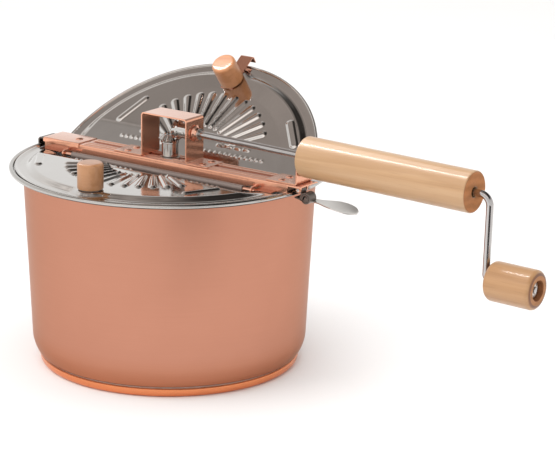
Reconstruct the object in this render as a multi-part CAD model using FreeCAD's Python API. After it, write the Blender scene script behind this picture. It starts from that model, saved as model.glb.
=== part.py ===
import FreeCAD, Part
import math
import os
from FreeCAD import Vector as V

# Stove-top crank popcorn maker, millimetres.
# Frame: origin at the centre of the pot's underside on the hob, +Z up,
# +X along the bridge towards the handle, -Y the closed front lid.

# ---------------------------------------------------------------- dimensions
# pot
SHEET = 0.8            # pot and lid sheet
FLOOR_Z = 4.0          # underside of the pot's drawn floor
CORNER_R = 28.0        # big corner radius between floor and wall
WALL_R0, WALL_Z0 = 109.8, 25.0
WALL_R1, WALL_Z1 = 116.0, 154.2
FLANGE_Z = 156.3       # underside of the outward flange
BEAD_R, BEAD_Z, BEAD_r = 125.2, 158.0, 1.8
SEAM_R, SEAM_Z = 103.3, 7.3
# bridge
BR_HALF = 11.35        # half width of the channel
BR_TOP = 164.7
BR_T = 1.0
BR_X0, BR_X1 = -120.0, 134.0
SKIRT_X1 = 112.0
SKIRT_BOTTOM = 157.4
# hinges
HINGE_Y, HINGE_Z = 18.0, 157.0
HINGE_ROD_r = 1.5
CURL_ro, CURL_ri = 2.3, 1.58
CURL_X = 85.0
EAR_X0, EAR_X1 = 93.0, 94.2
# lids
LID_R = 122.5
LID_Z = 157.5          # underside of the lid flange
PLATEAU_TOP = 161.5
PLATEAU_R = 113.0
PLATEAU_Y = 24.0       # straight side of the plateau
PLATEAU_RC = 12.0
STEP_IN = 2.4          # run of the sloped step
# knob of each lid: distance from the middle, turn from the middle line, radius of the boss under it
REAR_KNOB = (103.0, 0.0, 14.5)
FRONT_KNOB = (106.2, 3.24, 12.9)
REAR_OPEN = 38.0       # degrees, rear lid at rest
# lid knobs
LK_r, LK_H = 10.0, 20.7
LK_Z = PLATEAU_TOP + 0.8
# gear train
SHAFT_Z = 188.8        # apex of the two bevel gears
DROOP = 1.25           # degrees, shaft and handle hang a little outwards
TEETH, PITCH_R = 14, 8.4
ROD_r = 5.5 / 2
RUN = 0.08             # radial running fit
# gear bracket
GB_X0, GB_X1 = -20.4, 24.6
GB_HALF = 11.3
GB_TOP = 200.8
GB_T = 1.2
GB_FOOT0, GB_FOOT1 = -48.0, 45.0
# handle, distances along the shaft from the gears' apex
H_X0, H_X1, H_r = 130.2, 280.0, 31.75 / 2
H_BORE = 4.0
# crank, along the shaft and below it
C_X, C_ARM = 293.4, 63.3
C_BEND0, C_BEND1 = 8.0, 4.0
C_END = 335.8
K_X0, K_X1, K_r = 297.9, 337.4, 15.0
K_CB = 7.5             # counterbore in the outer face of the crank knob
K_CB_X = 332.2
# stirrer
ST_r = 3.0
AG_Z = 8.0
AG_r = 2.0
AG_R = 87.0
# latch
LP_X, LP_Z, LP_r = 130.5, 161.4, 1.25

os.makedirs("parts", exist_ok=True)

X = V(1, 0, 0)
Y = V(0, 1, 0)
Z = V(0, 0, 1)
O = V(0, 0, 0)
APEX = V(0, 0, SHAFT_Z)


def out(shape, node):
    s = shape
    if s.ShapeType == "Compound" and len(s.Solids) == 1:
        s = s.Solids[0]
    if not s.isValid():
        s = s.copy()
        s.fix(1e-4, 1e-4, 1e-4)
    print(node, "solids", len(s.Solids), "valid", s.isValid(), "vol", round(s.Volume, 1))
    s.exportStep("parts/%s.step" % node)
    return s


def poly(points):
    return Part.makePolygon([V(*p) for p in points] + [V(*points[0])])


def profile(items, put):
    """Closed wire through 2-D points; an ("a", mid, end) item is an arc from the point before it."""
    es, cur, first = [], None, None
    for it in items:
        if it[0] == "a":
            es.append(Part.Arc(put(cur), put(it[1]), put(it[2])).toShape())
            cur = it[2]
            continue
        if cur is None:
            first = it
        elif math.hypot(it[0] - cur[0], it[1] - cur[1]) > 1e-6:
            es.append(Part.LineSegment(put(cur), put(it)).toShape())
        cur = it
    if math.hypot(first[0] - cur[0], first[1] - cur[1]) > 1e-6:
        es.append(Part.LineSegment(put(cur), put(first)).toShape())
    return Part.Face(Part.Wire(es))


def revolve_z(pts):
    """Solid of revolution about Z of a closed (r, z) profile."""
    return profile(pts, lambda p: V(p[0], 0, p[1])).revolve(O, Z, 360)


def revolve_x(pts):
    """Solid of revolution about X of a closed (x, r) profile."""
    return profile(pts, lambda p: V(p[0], 0, p[1])).revolve(O, X, 360)


def corner(cx, cz, r, a0, a1):
    """Round corner about (cx, cz): its first point and the arc to its last one."""
    f = [(cx + r * math.cos(math.radians(a)), cz + r * math.sin(math.radians(a))) for a in (a0, (a0 + a1) / 2, a1)]
    return [f[0], ("a", f[1], f[2])]


def cyl(r, h, p, d):
    return Part.makeCylinder(r, h, V(*p), d)


def box(x0, x1, y0, y1, z0, z1):
    return Part.makeBox(x1 - x0, y1 - y0, z1 - z0, V(x0, y0, z0))


def ribbon(pts, t, y0, y1):
    """Bent strip of thickness t along a polyline in XZ, between y0 and y1."""
    n = len(pts)
    left, right = [], []
    for i in range(n):
        ds = []
        if i > 0:
            ds.append((pts[i][0] - pts[i - 1][0], pts[i][1] - pts[i - 1][1]))
        if i < n - 1:
            ds.append((pts[i + 1][0] - pts[i][0], pts[i + 1][1] - pts[i][1]))
        ns = []
        for dx, dz in ds:
            l = math.hypot(dx, dz)
            ns.append((-dz / l, dx / l))
        nx = sum(a for a, b in ns)
        nz = sum(b for a, b in ns)
        l = math.hypot(nx, nz)
        nx, nz = nx / l, nz / l
        k = (t / 2) / (nx * ns[0][0] + nz * ns[0][1])
        left.append((pts[i][0] + nx * k, pts[i][1] + nz * k))
        right.append((pts[i][0] - nx * k, pts[i][1] - nz * k))
    ring = left + right[::-1]
    f = Part.Face(poly([(a, y0, b) for a, b in ring]))
    return f.extrude(V(0, y1 - y0, 0))


def droop(s):
    s = s.copy()
    s.rotate(APEX, Y, DROOP)
    return s


def along(s):
    """Move a piece built about the X axis onto the shaft line."""
    s = s.copy()
    s.translate(APEX)
    return droop(s)


def arc3(p0, pm, p1):
    return Part.Arc(V(*p0), V(*pm), V(*p1)).toShape()


def line(p0, p1):
    return Part.LineSegment(V(*p0), V(*p1)).toShape()


# ---------------------------------------------------------------- pot
def pot_profile(off):
    """Edges of the pot's outer line, moved inwards by off, from axis to flange."""
    cx, cz, r = WALL_R0 - CORNER_R, WALL_Z0, CORNER_R - off
    a1 = math.atan2(SEAM_Z - cz, SEAM_R - cx)
    am = a1 / 2
    seam = (cx + r * math.cos(a1), cz + r * math.sin(a1))
    mid = (cx + r * math.cos(am), cz + r * math.sin(am))
    top = (cx + r, cz)
    # chamfer from the seam to the flat floor
    ch = (SEAM_R - 8.4, FLOOR_Z)
    dx, dz = SEAM_R - ch[0], SEAM_Z - ch[1]
    l = math.hypot(dx, dz)
    n = (-dz / l, dx / l)
    zf = FLOOR_Z + off
    # point where the moved chamfer meets the moved floor
    px, pz = ch[0] + n[0] * off, ch[1] + n[1] * off
    k = (zf - pz) / dz
    foot = (px + dx * k, zf)
    bx, bz = WALL_R1 - off, WALL_Z1
    br = 2.1 + off
    bend_m = (bx + br * (1 - math.cos(math.radians(45))), bz + br * math.sin(math.radians(45)))
    bend_e = (bx + br, bz + br)
    return foot, seam, mid, top, (bx, bz), bend_m, bend_e


fo, so, mo, to, bo, bmo, beo = pot_profile(0.0)
fi, si, mi, ti, bi, bmi, bei = pot_profile(SHEET)


def p3(p):
    return (p[0], 0, p[1])


fl_end = BEAD_R - 0.2
edges = [
    line((0, 0, FLOOR_Z), p3(fo)), line(p3(fo), p3(so)), arc3(p3(so), p3(mo), p3(to)),
    line(p3(to), p3(bo)), arc3(p3(bo), p3(bmo), p3(beo)),
    line(p3(beo), (fl_end, 0, beo[1])), line((fl_end, 0, beo[1]), (fl_end, 0, bei[1])),
    line((fl_end, 0, bei[1]), p3(bei)), arc3(p3(bei), p3(bmi), p3(bi)),
    line(p3(bi), p3(ti)), arc3(p3(ti), p3(mi), p3(si)), line(p3(si), p3(fi)),
    line(p3(fi), (0, 0, FLOOR_Z + SHEET)), line((0, 0, FLOOR_Z + SHEET), (0, 0, FLOOR_Z)),
]
pot = Part.Face(Part.Wire(edges)).revolve(O, Z, 360)
bead = Part.makeTorus(BEAD_R, BEAD_r, V(0, 0, BEAD_Z), Z)
pot = pot.fuse(bead).removeSplitter()
out(pot, "pot_shell")
FLANGE_TOP = bei[1]
print("flange top", FLANGE_TOP, "seam", so)

core_r = 92.0
out(cyl(core_r, FLOOR_Z - 0.9, (0, 0, 0.9), Z), "base_core")

cap_out = [(0, 0)] + corner(99.6, 4.4, 4.4, -90, 8) + [(103.75, 6.75)]
cap_in = [(103.0, 6.75)] + corner(99.6, 4.4, 3.5, 8, -90) + [(0, 0.9)]
cap = revolve_z(cap_out + cap_in)
out(cap, "base_cap")

# ---------------------------------------------------------------- bridge
top = box(BR_X0, BR_X1, -BR_HALF, BR_HALF, BR_TOP - BR_T, BR_TOP)
sk_f = box(BR_X0, SKIRT_X1, -BR_HALF, -BR_HALF + BR_T, SKIRT_BOTTOM, BR_TOP - BR_T)
sk_r = box(BR_X0, SKIRT_X1, BR_HALF - BR_T, BR_HALF, SKIRT_BOTTOM, BR_TOP - BR_T)
bridge = top.fuse([sk_f, sk_r]).removeSplitter()


def edges_at(s, y=None, z=None, x=None, along_axis="x", tol=0.02):
    """Straight edges along one axis that lie at the given coordinates."""
    res = []
    for e in s.Edges:
        a, b = e.Vertexes[0].Point, e.Vertexes[-1].Point
        d = b - a
        if d.Length < 1e-6 or abs(getattr(d, along_axis)) < 0.99 * d.Length:
            continue
        ok = True
        for k, v in (("x", x), ("y", y), ("z", z)):
            if v is not None and (abs(getattr(a, k) - v) > tol or abs(getattr(b, k) - v) > tol):
                ok = False
        if ok:
            res.append(e)
    return res


for sy in (-1, 1):
    bridge = bridge.makeFillet(1.3, edges_at(bridge, y=sy * BR_HALF, z=BR_TOP))
# stamped ridges along the top, clear of the two feet
for x0, x1 in ((-82.0, -49.0), (49.0, 100.0)):
    for y in (-8.2, -4.1, 4.1, 8.2):
        rid = cyl(1.3, x1 - x0, (x0, y, BR_TOP - 0.85), X)
        bridge = bridge.fuse(rid.common(box(x0, x1, -20, 20, BR_TOP - 0.6, BR_TOP + 2)))
# hinge ears, front and rear, both ends
for sx in (-1, 1):
    for sy in (-1, 1):
        xa, xb = sorted((sx * EAR_X0, sx * EAR_X1))
        ya, yb = sorted((sy * (BR_HALF - 0.5), sy * HINGE_Y))
        ear = box(xa, xb, ya, yb, HINGE_Z - 2.2, HINGE_Z + 2.9)
        ear = ear.fuse(cyl(2.9, xb - xa, (xa, sy * HINGE_Y, HINGE_Z), X))
        bridge = bridge.fuse(ear)
for sy in (-1, 1):
    bridge = bridge.cut(cyl(HINGE_ROD_r + 0.03, 240, (-120, sy * HINGE_Y, HINGE_Z), X))
# level tabs beside the ears, over the gap between bridge and lids
for xa, xb in ((-118.0, -96.6), (96.6, 111.9)):
    for sy in (-1, 1):
        ya, yb = sorted((sy * (BR_HALF - 0.5), sy * 20.3))
        bridge = bridge.fuse(box(xa, xb, ya, yb, SKIRT_BOTTOM, SKIRT_BOTTOM + 0.8))
# lugs for the latch pin
for y0 in (-9.4, -0.9):
    lug = box(LP_X - 2.3, LP_X + 2.3, y0, y0 + 1.0, LP_Z - 0.4, BR_TOP - BR_T)
    lug = lug.fuse(cyl(2.3, 1.0, (LP_X, y0, LP_Z), Y))
    bridge = bridge.fuse(lug)
bridge = bridge.cut(cyl(LP_r + 0.03, 30, (LP_X, -15, LP_Z), Y))
# holes: stirrer bush, rivets
ST_BUSH_ro = 5.0
bridge = bridge.cut(cyl(ST_BUSH_ro + 0.05, 20, (0, 0, 155), Z))
HOOK_RIVET = [(-93.0, 0.0)]
BRK_RIVETS = [(-38.0, -5.6), (-38.0, 5.6), (37.0, -5.6), (37.0, 5.6)]
HB_RIVETS = [(112.0, -5.0), (112.0, 5.0)]
RIV_r = 1.6
for x, y in HOOK_RIVET + BRK_RIVETS + HB_RIVETS:
    bridge = bridge.cut(cyl(RIV_r + 0.03, 20, (x, y, 155), Z))
bridge = bridge.removeSplitter()
out(bridge, "bridge_bar")

# copper plate folded over the left end
ep_t = 0.8
ep = box(-121.2, -84.0, -BR_HALF - 0.05 - ep_t, BR_HALF + 0.05 + ep_t, BR_TOP, BR_TOP + ep_t)
for sy in (-1, 1):
    ya, yb = sorted((sy * (BR_HALF + 0.05), sy * (BR_HALF + 0.05 + ep_t)))
    ep = ep.fuse(box(-121.2, -84.0, ya, yb, BR_TOP - 3.0, BR_TOP))
ep = ep.fuse(box(-121.2, -120.05, -BR_HALF - 0.05 - ep_t, BR_HALF + 0.05 + ep_t, BR_TOP - 3.0, BR_TOP))
ep = ep.removeSplitter()
ep_y = BR_HALF + 0.05 + ep_t
for sy in (-1, 1):
    ep = ep.makeFillet(1.0, edges_at(ep, y=sy * ep_y, z=BR_TOP + ep_t))
ep = ep.makeFillet(0.7, edges_at(ep, x=-121.2, z=BR_TOP + ep_t, along_axis="y"))
# slot for the hook in the plate's end wall
ep = ep.cut(box(-124, -118, -8.7, 8.7, BR_TOP - 5.0, BR_TOP - 0.9))
ep = ep.cut(cyl(RIV_r + 0.03, 20, (-93, 0, 155), Z)).removeSplitter()
out(ep, "bridge_end_plate")

# hook under the left end: seat on the flange, over the bead and under it
zs = BR_TOP - BR_T - 0.6
hook = ribbon([(-84, zs), (-115.0, zs), (-118.6, FLANGE_TOP + 0.6), (-122.0, FLANGE_TOP + 0.6)], 1.2, -8.5, 8.5)
hook2 = ribbon([(-114.0, zs), (-127.6, zs), (-129.2, zs - 1.6), (-129.2, 155.2), (-128.0, 154.0), (-125.6, 154.6)], 1.2, -8.5, 8.5)
hook = hook.fuse(hook2)
hook = hook.cut(cyl(RIV_r + 0.03, 20, (-93, 0, 155), Z)).removeSplitter()
out(hook, "rim_hook")


def rivet(x, y, z_top, z_bot, hr=3.2, hh=1.3):
    """Round-headed rivet: domed head above z_top, shank to z_bot, flat tail below it."""
    pts = [(0, z_bot - 0.9), (2.6, z_bot - 0.9), (2.6, z_bot), (RIV_r, z_bot), (RIV_r, z_top), (hr, z_top)]
    pts += [(hr, z_top + hh * 0.2), ("a", (hr * 0.72, z_top + hh * 0.78), (0.5, z_top + hh)), (0, z_top + hh)]
    s = revolve_z(pts)
    s.translate(V(x, y, 0))
    return s


out(rivet(-93, 0, BR_TOP + ep_t, zs - 0.6), "hook_rivet")

# seat under the right end
seat = ribbon([(100.0, zs), (115.0, zs), (118.6, FLANGE_TOP + 0.6), (122.2, FLANGE_TOP + 0.6)], 1.2, -8.5, 8.5)
for x, y in HB_RIVETS:
    seat = seat.cut(cyl(RIV_r + 0.03, 20, (x, y, 155), Z))
out(seat, "rim_seat")

# ---------------------------------------------------------------- gear bracket
gb_pts = [(GB_FOOT0, BR_TOP + GB_T / 2), (GB_X0 + GB_T / 2, BR_TOP + GB_T / 2), (GB_X0 + GB_T / 2, GB_TOP - GB_T / 2),
          (GB_X1 - GB_T / 2, GB_TOP - GB_T / 2), (GB_X1 - GB_T / 2, BR_TOP + GB_T / 2), (GB_FOOT1, BR_TOP + GB_T / 2)]
gb = ribbon(gb_pts, GB_T, -GB_HALF, GB_HALF)
for x, r in ((GB_X0, 2.2), (GB_X1, 2.2)):
    gb = gb.makeFillet(r, edges_at(gb, x=x, z=GB_TOP, along_axis="y"))
for x in (GB_X0 + GB_T, GB_X1 - GB_T):
    gb = gb.makeFillet(1.0, edges_at(gb, x=x, z=GB_TOP - GB_T, along_axis="y"))
    gb = gb.makeFillet(1.6, edges_at(gb, x=x, z=BR_TOP, along_axis="y"))
for x in (GB_X0, GB_X1):
    gb = gb.makeFillet(1.0, edges_at(gb, x=x, z=BR_TOP + GB_T, along_axis="y"))
bush_cut = droop(cyl(4.3, 20, (14, 0, SHAFT_Z), X))
gb = gb.cut(bush_cut)
for x, y in BRK_RIVETS:
    gb = gb.cut(cyl(RIV_r + 0.03, 20, (x, y, 155), Z))
gb = gb.removeSplitter()
out(gb, "gear_bracket")
riv = [rivet(x, y, BR_TOP + GB_T, BR_TOP - BR_T, 2.9, 1.1) for x, y in BRK_RIVETS]
out(Part.makeCompound(riv), "bracket_rivets")

# flared bush in the right leg, on the shaft line
b_in = ROD_r + RUN
bush = revolve_x([(21.6, b_in), (21.6, 4.0), (24.9, 4.0), (24.9, 6.0), (25.7, 6.4), (26.3, 6.0), (27.6, 4.4), (28.4, 4.0), (28.4, b_in)])
out(along(bush), "shaft_bushing")

sb = revolve_z([(ST_r + RUN, 160.0), (ST_BUSH_ro, 160.0), (ST_BUSH_ro, BR_TOP), (8.0, BR_TOP), (8.0, BR_TOP + 0.9), (6.6, BR_TOP + 1.3), (ST_r + RUN, BR_TOP + 1.3)])
out(sb, "stirrer_bushing")

# ---------------------------------------------------------------- handle bracket and handle
hb_t = 1.2
foot = box(101.0, H_X0 - 0.2, -11.0, 11.0, BR_TOP, BR_TOP + hb_t)
up = box(H_X0 - hb_t, H_X0, -11.0, 11.0, BR_TOP - 4 + 3.0, SHAFT_Z)
up = up.fuse(cyl(12.2, hb_t, (H_X0 - hb_t, 0, SHAFT_Z), X).common(box(100, 160, -11.0, 11.0, SHAFT_Z - 1, 260))).removeSplitter()
up = droop(up).common(box(100, 160, -20, 20, BR_TOP, 260))
hb = foot.fuse(up)
SCREWS = [(-7.9, 0), (7.9, 0)]
SCREW_r = 1.7
cut_b = droop(cyl(3.95, 30, (115, 0, SHAFT_Z), X))
hb = hb.cut(cut_b)
for y, z in SCREWS:
    hb = hb.cut(droop(cyl(SCREW_r + 0.05, 30, (115, y, SHAFT_Z + z), X)))
for x, y in HB_RIVETS:
    hb = hb.cut(cyl(RIV_r + 0.03, 20, (x, y, 155), Z))
hb = hb.removeSplitter()
out(hb, "handle_bracket")
riv = [rivet(x, y, BR_TOP + hb_t, zs - 0.6, 2.9, 1.1) for x, y in HB_RIVETS]
out(Part.makeCompound(riv), "handle_bracket_rivets")

tb = revolve_x([(126.6, b_in), (126.6, 4.2), (127.0, 4.6), (H_X0 - hb_t - 0.02, 4.6), (H_X0 - hb_t - 0.02, 3.9), (140.0, 3.9), (140.0, b_in)])
out(along(tb), "tab_bushing")

fil = corner(H_X0 + 0.02 + 3.4, H_r - 3.4, 3.4, 180, 90)
bev = corner(H_X1 - 1.6, H_r - 1.6, 1.6, 90, 0)
grip = revolve_x([(H_X0 + 0.02, H_BORE)] + fil + bev + [(H_X1, H_BORE + 0.4), (H_X1 - 0.4, H_BORE)])
for y, z in SCREWS:
    grip = grip.cut(cyl(SCREW_r + 0.05, 24, (H_X0 - 1, y, z), X))
    grip = grip.cut(Part.makeCone(SCREW_r + 0.05, 0.3, 3.0, V(H_X0 + 22.9, y, z), X))
out(along(grip), "handle_grip")
scr = []
for y, z in SCREWS:
    s = revolve_x([(H_X0 - hb_t - 1.9, 0), (H_X0 - hb_t - 1.9, 1.9), (H_X0 - hb_t - 1.2, 2.6), (H_X0 - hb_t - 0.02, 2.8),
                   (H_X0 - hb_t - 0.02, SCREW_r), (H_X0 + 20.5, SCREW_r), (H_X0 + 22.6, 0.3), (H_X0 + 22.6, 0)])
    s.translate(V(0, y, z))
    scr.append(along(s))
out(Part.makeCompound(scr), "handle_screws")

# ---------------------------------------------------------------- hinge rods
for node, sy in (("front_hinge_rod", -1), ("rear_hinge_rod", 1)):
    rod = cyl(HINGE_ROD_r, 192.0, (-96.0, sy * HINGE_Y, HINGE_Z), X)
    rod = rod.makeChamfer(0.4, [e for e in rod.Edges if e.Closed])
    out(rod, node)


# ---------------------------------------------------------------- lids, built at +Y and closed
def d_wire(o, z, k):
    """D-shaped outline of the raised panel with the knob's boss, moved inwards by o."""
    ky, phi = k[0], math.radians(k[1])
    R, yl, rc, rb = PLATEAU_R - o, PLATEAU_Y + o, PLATEAU_RC - o, k[2] - o
    cy = yl + rc
    cx = math.sqrt((R - rc) ** 2 - cy ** 2)
    # tangent points
    ta = math.atan2(cy, cx)
    t_out = (R * math.cos(ta), R * math.sin(ta))
    t_line = (cx, yl)
    am = (-math.pi / 2 + ta) / 2
    c_mid = (cx + rc * math.cos(am), cy + rc * math.sin(am))
    # the two points where the big arc and the boss meet, seen from the middle
    yi = (R * R - rb * rb + ky * ky) / (2 * ky)
    ai = math.atan2(yi, math.sqrt(R * R - yi * yi))
    a0, a1 = ai + phi, math.pi - ai + phi

    def q(p, s=1):
        return (s * p[0], p[1], z)

    def pol(r, a):
        return (r * math.cos(a), r * math.sin(a), z)
    es = [line(q(t_line, -1), q(t_line)), arc3(q(t_line), q(c_mid), q(t_out)),
          arc3(q(t_out), pol(R, (ta + a0) / 2), pol(R, a0)), arc3(pol(R, a0), pol(ky + rb, math.pi / 2 + phi), pol(R, a1)),
          arc3(pol(R, a1), pol(R, (a1 + math.pi - ta) / 2), q(t_out, -1)), arc3(q(t_out, -1), q(c_mid, -1), q(t_line, -1))]
    return Part.Wire(es)


def at_knob(s, k):
    s = s.copy()
    a = math.radians(k[1])
    s.translate(V(-k[0] * math.sin(a), k[0] * math.cos(a), 0))
    return s


def lid_panel(k):
    t = SHEET
    plate = cyl(LID_R, t, (0, 0, LID_Z), Z).common(box(-200, 200, 22.4, 200, 100, 200))
    plate = plate.fuse(box(-CURL_X, CURL_X, 19.55, 22.6, LID_Z, LID_Z + t))
    lip = Part.makeTorus(LID_R - 1.0, 1.0, V(0, 0, LID_Z + 0.95), Z).common(box(-200, 200, 22.4, 200, 100, 200))
    plate = plate.fuse(lip)
    curl = cyl(CURL_ro, 2 * CURL_X, (-CURL_X, HINGE_Y, HINGE_Z), X)
    plate = plate.fuse(curl)
    outer = Part.makeLoft([d_wire(0.0, LID_Z + t, k), d_wire(STEP_IN, PLATEAU_TOP, k)], True, True)
    # keep a little overlap into the flange so the two join in one piece
    band = Part.Face(d_wire(0.0, LID_Z, k)).extrude(V(0, 0, t))
    body = plate.fuse([band, outer])
    inner = Part.makeLoft([d_wire(0.9, LID_Z, k), d_wire(0.9 + STEP_IN * 0.98, PLATEAU_TOP - t, k)], True, True)
    below = Part.Face(d_wire(0.9, LID_Z - 3, k)).extrude(V(0, 0, 3.0))
    body = body.cut(inner).cut(below)
    body = body.cut(cyl(CURL_ri, 2 * CURL_X + 10, (-CURL_X - 5, HINGE_Y, HINGE_Z), X))
    body = body.cut(at_knob(cyl(2.15, 20, (0, 0, 150), Z), k))
    return body.removeSplitter()


def to_front(s):
    s = s.copy()
    s.rotate(O, Z, 180)
    return s


def to_rear(s):
    s = s.copy()
    s.rotate(V(0, HINGE_Y, HINGE_Z), X, REAR_OPEN)
    return s


out(to_front(lid_panel(FRONT_KNOB)), "front_lid_panel")
out(to_rear(lid_panel(REAR_KNOB)), "rear_lid_panel")

top_arc = corner(LK_r - 2.2, LK_Z + LK_H - 2.2, 2.2, 90, 0)
knob = revolve_z([(0, LK_Z + 15.5), (0, LK_Z + LK_H)] + top_arc + [(LK_r, LK_Z + 0.8), (LK_r - 0.8, LK_Z), (2.0, LK_Z), (2.0, LK_Z + 14.5)])
out(to_front(at_knob(knob, FRONT_KNOB)), "front_knob")
out(to_rear(at_knob(knob, REAR_KNOB)), "rear_knob")

zb = PLATEAU_TOP - SHEET
ks = revolve_z([(0, zb - 2.3), (2.6, zb - 2.3), (3.6, zb - 1.5), (3.9, zb), (1.95, zb), (1.95, LK_Z + 13.4), (0.5, LK_Z + 14.8), (0, LK_Z + 14.8)])
out(to_front(at_knob(ks, FRONT_KNOB)), "front_knob_screw")
out(to_rear(at_knob(ks, REAR_KNOB)), "rear_knob_screw")

w = cyl(8.4, 0.8, (0, 0, PLATEAU_TOP), Z).cut(cyl(2.15, 5, (0, 0, PLATEAU_TOP - 1), Z))
out(to_front(at_knob(w, FRONT_KNOB)), "front_knob_washer")

# folded copper strip from under the rear knob, over the rim, down outside the bead
ct = 0.8
strip = [(94.0, PLATEAU_TOP + ct / 2), (129.2, PLATEAU_TOP + ct / 2), (130.2, PLATEAU_TOP - 0.6), (130.2, 156.4)]
catch = ribbon(strip, ct, -5.5, 5.5)
catch.rotate(O, Z, 90)
catch = catch.cut(at_knob(cyl(2.15, 5, (0, 0, PLATEAU_TOP - 1), Z), REAR_KNOB))
out(to_rear(catch), "rear_lid_catch")

# ---------------------------------------------------------------- crank rod
r0, r1 = C_BEND0, C_BEND1
s45 = math.sin(math.radians(45))
c0 = (C_X - r0, -r0)
c1 = (C_X + r1, -C_ARM + r1)
path = Part.Wire([
    line((4.6, 0, 0), (C_X - r0, 0, 0)),
    arc3((C_X - r0, 0, 0), (c0[0] + r0 * s45, 0, c0[1] + r0 * s45), (C_X, 0, -r0)),
    line((C_X, 0, -r0), (C_X, 0, -C_ARM + r1)),
    arc3((C_X, 0, -C_ARM + r1), (c1[0] - r1 * s45, 0, c1[1] - r1 * s45), (C_X + r1, 0, -C_ARM)),
    line((C_X + r1, 0, -C_ARM), (C_END, 0, -C_ARM)),
])
prof = Part.Wire(Part.makeCircle(ROD_r, V(4.6, 0, 0), X))
rod = path.makePipeShell([prof], True, False)
pin_x, pin_r = 17.2, 0.9
rod = rod.cut(cyl(pin_r + 0.02, 20, (pin_x, -10, 0), Y))
out(along(rod), "crank_rod")

# ---------------------------------------------------------------- bevel gears
GAM = math.radians((90.0 - DROOP) / 2)
LO = PITCH_R / math.sin(GAM)
LI = LO - 5.0
MOD = 2 * PITCH_R / TEETH
ADD, DED = 0.85 * MOD, 1.2 * MOD
PITCH_A = 2 * math.pi / TEETH


def ray(g, f, L):
    """Point where the ray at cone angle g and azimuth f meets the tooth's back plane."""
    d = V(math.sin(g) * math.cos(f), math.sin(g) * math.sin(f), math.cos(g))
    d0 = V(math.sin(GAM), 0, math.cos(GAM))
    k = L / d.dot(d0)
    return d * k


def tooth():
    prof = [(-DED - 0.25, 0.335), (-0.6 * DED, 0.285), (0.0, 0.218), (0.55 * ADD, 0.165), (ADD, 0.105)]
    wires = []
    for L in (LI, LO):
        pr = [(GAM + math.atan2(h, LO), w * PITCH_A) for h, w in prof]
        pts = [ray(g, f, L) for g, f in pr] + [ray(g, -f, L) for g, f in reversed(pr)]
        wires.append(Part.makePolygon(pts + [pts[0]]))
    return Part.makeLoft(wires, True, True)


def gear(bore, hub_r, hub_end, phase):
    """Bevel gear about +Z with its apex at the origin, tooth or gap at azimuth 0 by phase."""
    gf = GAM - math.atan2(DED, LO)
    a = (LI * math.sin(gf) * 0.985, LI * math.cos(gf))
    b = (LO * math.sin(gf), LO * math.cos(gf))
    blank = revolve_z([(bore, a[1] - 0.2), (a[0] - 0.6, a[1] - 0.2), a, b, (b[0] - 0.2, b[1] + 1.4), (hub_r + 0.6, b[1] + 1.8),
                       (hub_r, b[1] + 2.4), (hub_r, hub_end - 0.4), (hub_r - 0.4, hub_end), (bore, hub_end)])
    t = tooth()
    ts = []
    for i in range(TEETH):
        c = t.copy()
        c.rotate(O, Z, math.degrees((i + phase) * PITCH_A))
        ts.append(c)
    g = blank.fuse(ts)
    g = g.cut(cyl(bore, 60, (0, 0, -10), Z)).removeSplitter()
    return g


dg = gear(ROD_r + 0.03, 6.2, 20.8, 0.0)
dg = dg.cut(cyl(pin_r + 0.02, 20, (0, -10, pin_x), Y))
dg.rotate(O, Y, 90)
dg = along(dg)
out(dg, "drive_gear")
gp = cyl(pin_r, 13.6, (pin_x, -6.8, 0), Y)
out(along(gp), "drive_gear_pin")

vg = gear(ST_r + 0.03, 6.6, SHAFT_Z - (BR_TOP + 1.6), 0.5)
vg.rotate(O, X, 180)
vg.translate(APEX)
out(vg, "driven_gear")

# ---------------------------------------------------------------- crank knob and its fixings
kl = corner(K_X0 + 4.0, K_r - 4.0, 4.0, 180, 90)
kr = corner(K_X1 - 2.4, K_r - 2.4, 2.4, 90, 0)
kn = revolve_x([(K_X0, ROD_r + RUN)] + kl + kr + [(K_X1, K_CB + 0.5), (K_X1 - 0.5, K_CB), (K_CB_X, K_CB), (K_CB_X, ROD_r + RUN)])
kn.translate(V(0, 0, -C_ARM))
out(along(kn), "crank_knob")
pn = revolve_x([(K_CB_X + 0.5, ROD_r + 0.02), (K_CB_X + 0.5, 5.6), (K_CB_X + 1.1, 5.6), (K_CB_X + 2.2, 4.2), (K_CB_X + 2.6, ROD_r + 0.02)])
pn.translate(V(0, 0, -C_ARM))
out(along(pn), "crank_push_nut")
tw = revolve_x([(28.9, ROD_r + 0.02), (28.9, 4.4), (29.9, 4.4), (29.9, ROD_r + 0.02)])
out(along(tw), "crank_thrust_washer")

# ---------------------------------------------------------------- stirrer
out(cyl(ST_r, 183.0 - 12.4, (0, 0, 12.4), Z), "stirrer_shaft")
clip = cyl(6.2, 0.9, (0, 0, 158.7), Z).cut(cyl(ST_r + 0.02, 5, (0, 0, 157), Z)).cut(box(0, 10, -1.6, 1.6, 158, 160))
out(clip, "stirrer_clip")
hub = revolve_z([(0, 5.8), (5.2, 5.8), (6.5, 7.1), (6.5, 22.0), (5.2, 23.5), (ST_r + 0.02, 23.5), (ST_r + 0.02, 12.4), (0, 12.4)])
hub = hub.cut(cyl(AG_r + 0.02, 40, (-20, 0, AG_Z), X))
out(hub, "agitator_hub")
ab = 14.0
a_up = math.radians(38)
tl = ab * math.tan(a_up / 2)


def bend_pts(s):
    p0 = (s * (AG_R - tl), 0, AG_Z)
    pm = (s * (AG_R - tl + ab * math.sin(a_up / 2)), 0, AG_Z + ab * (1 - math.cos(a_up / 2)))
    p1 = (s * (AG_R + tl * math.cos(a_up)), 0, AG_Z + tl * math.sin(a_up))
    p2 = (s * (AG_R + 13 * math.cos(a_up)), 0, AG_Z + 13 * math.sin(a_up))
    return p0, pm, p1, p2


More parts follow.
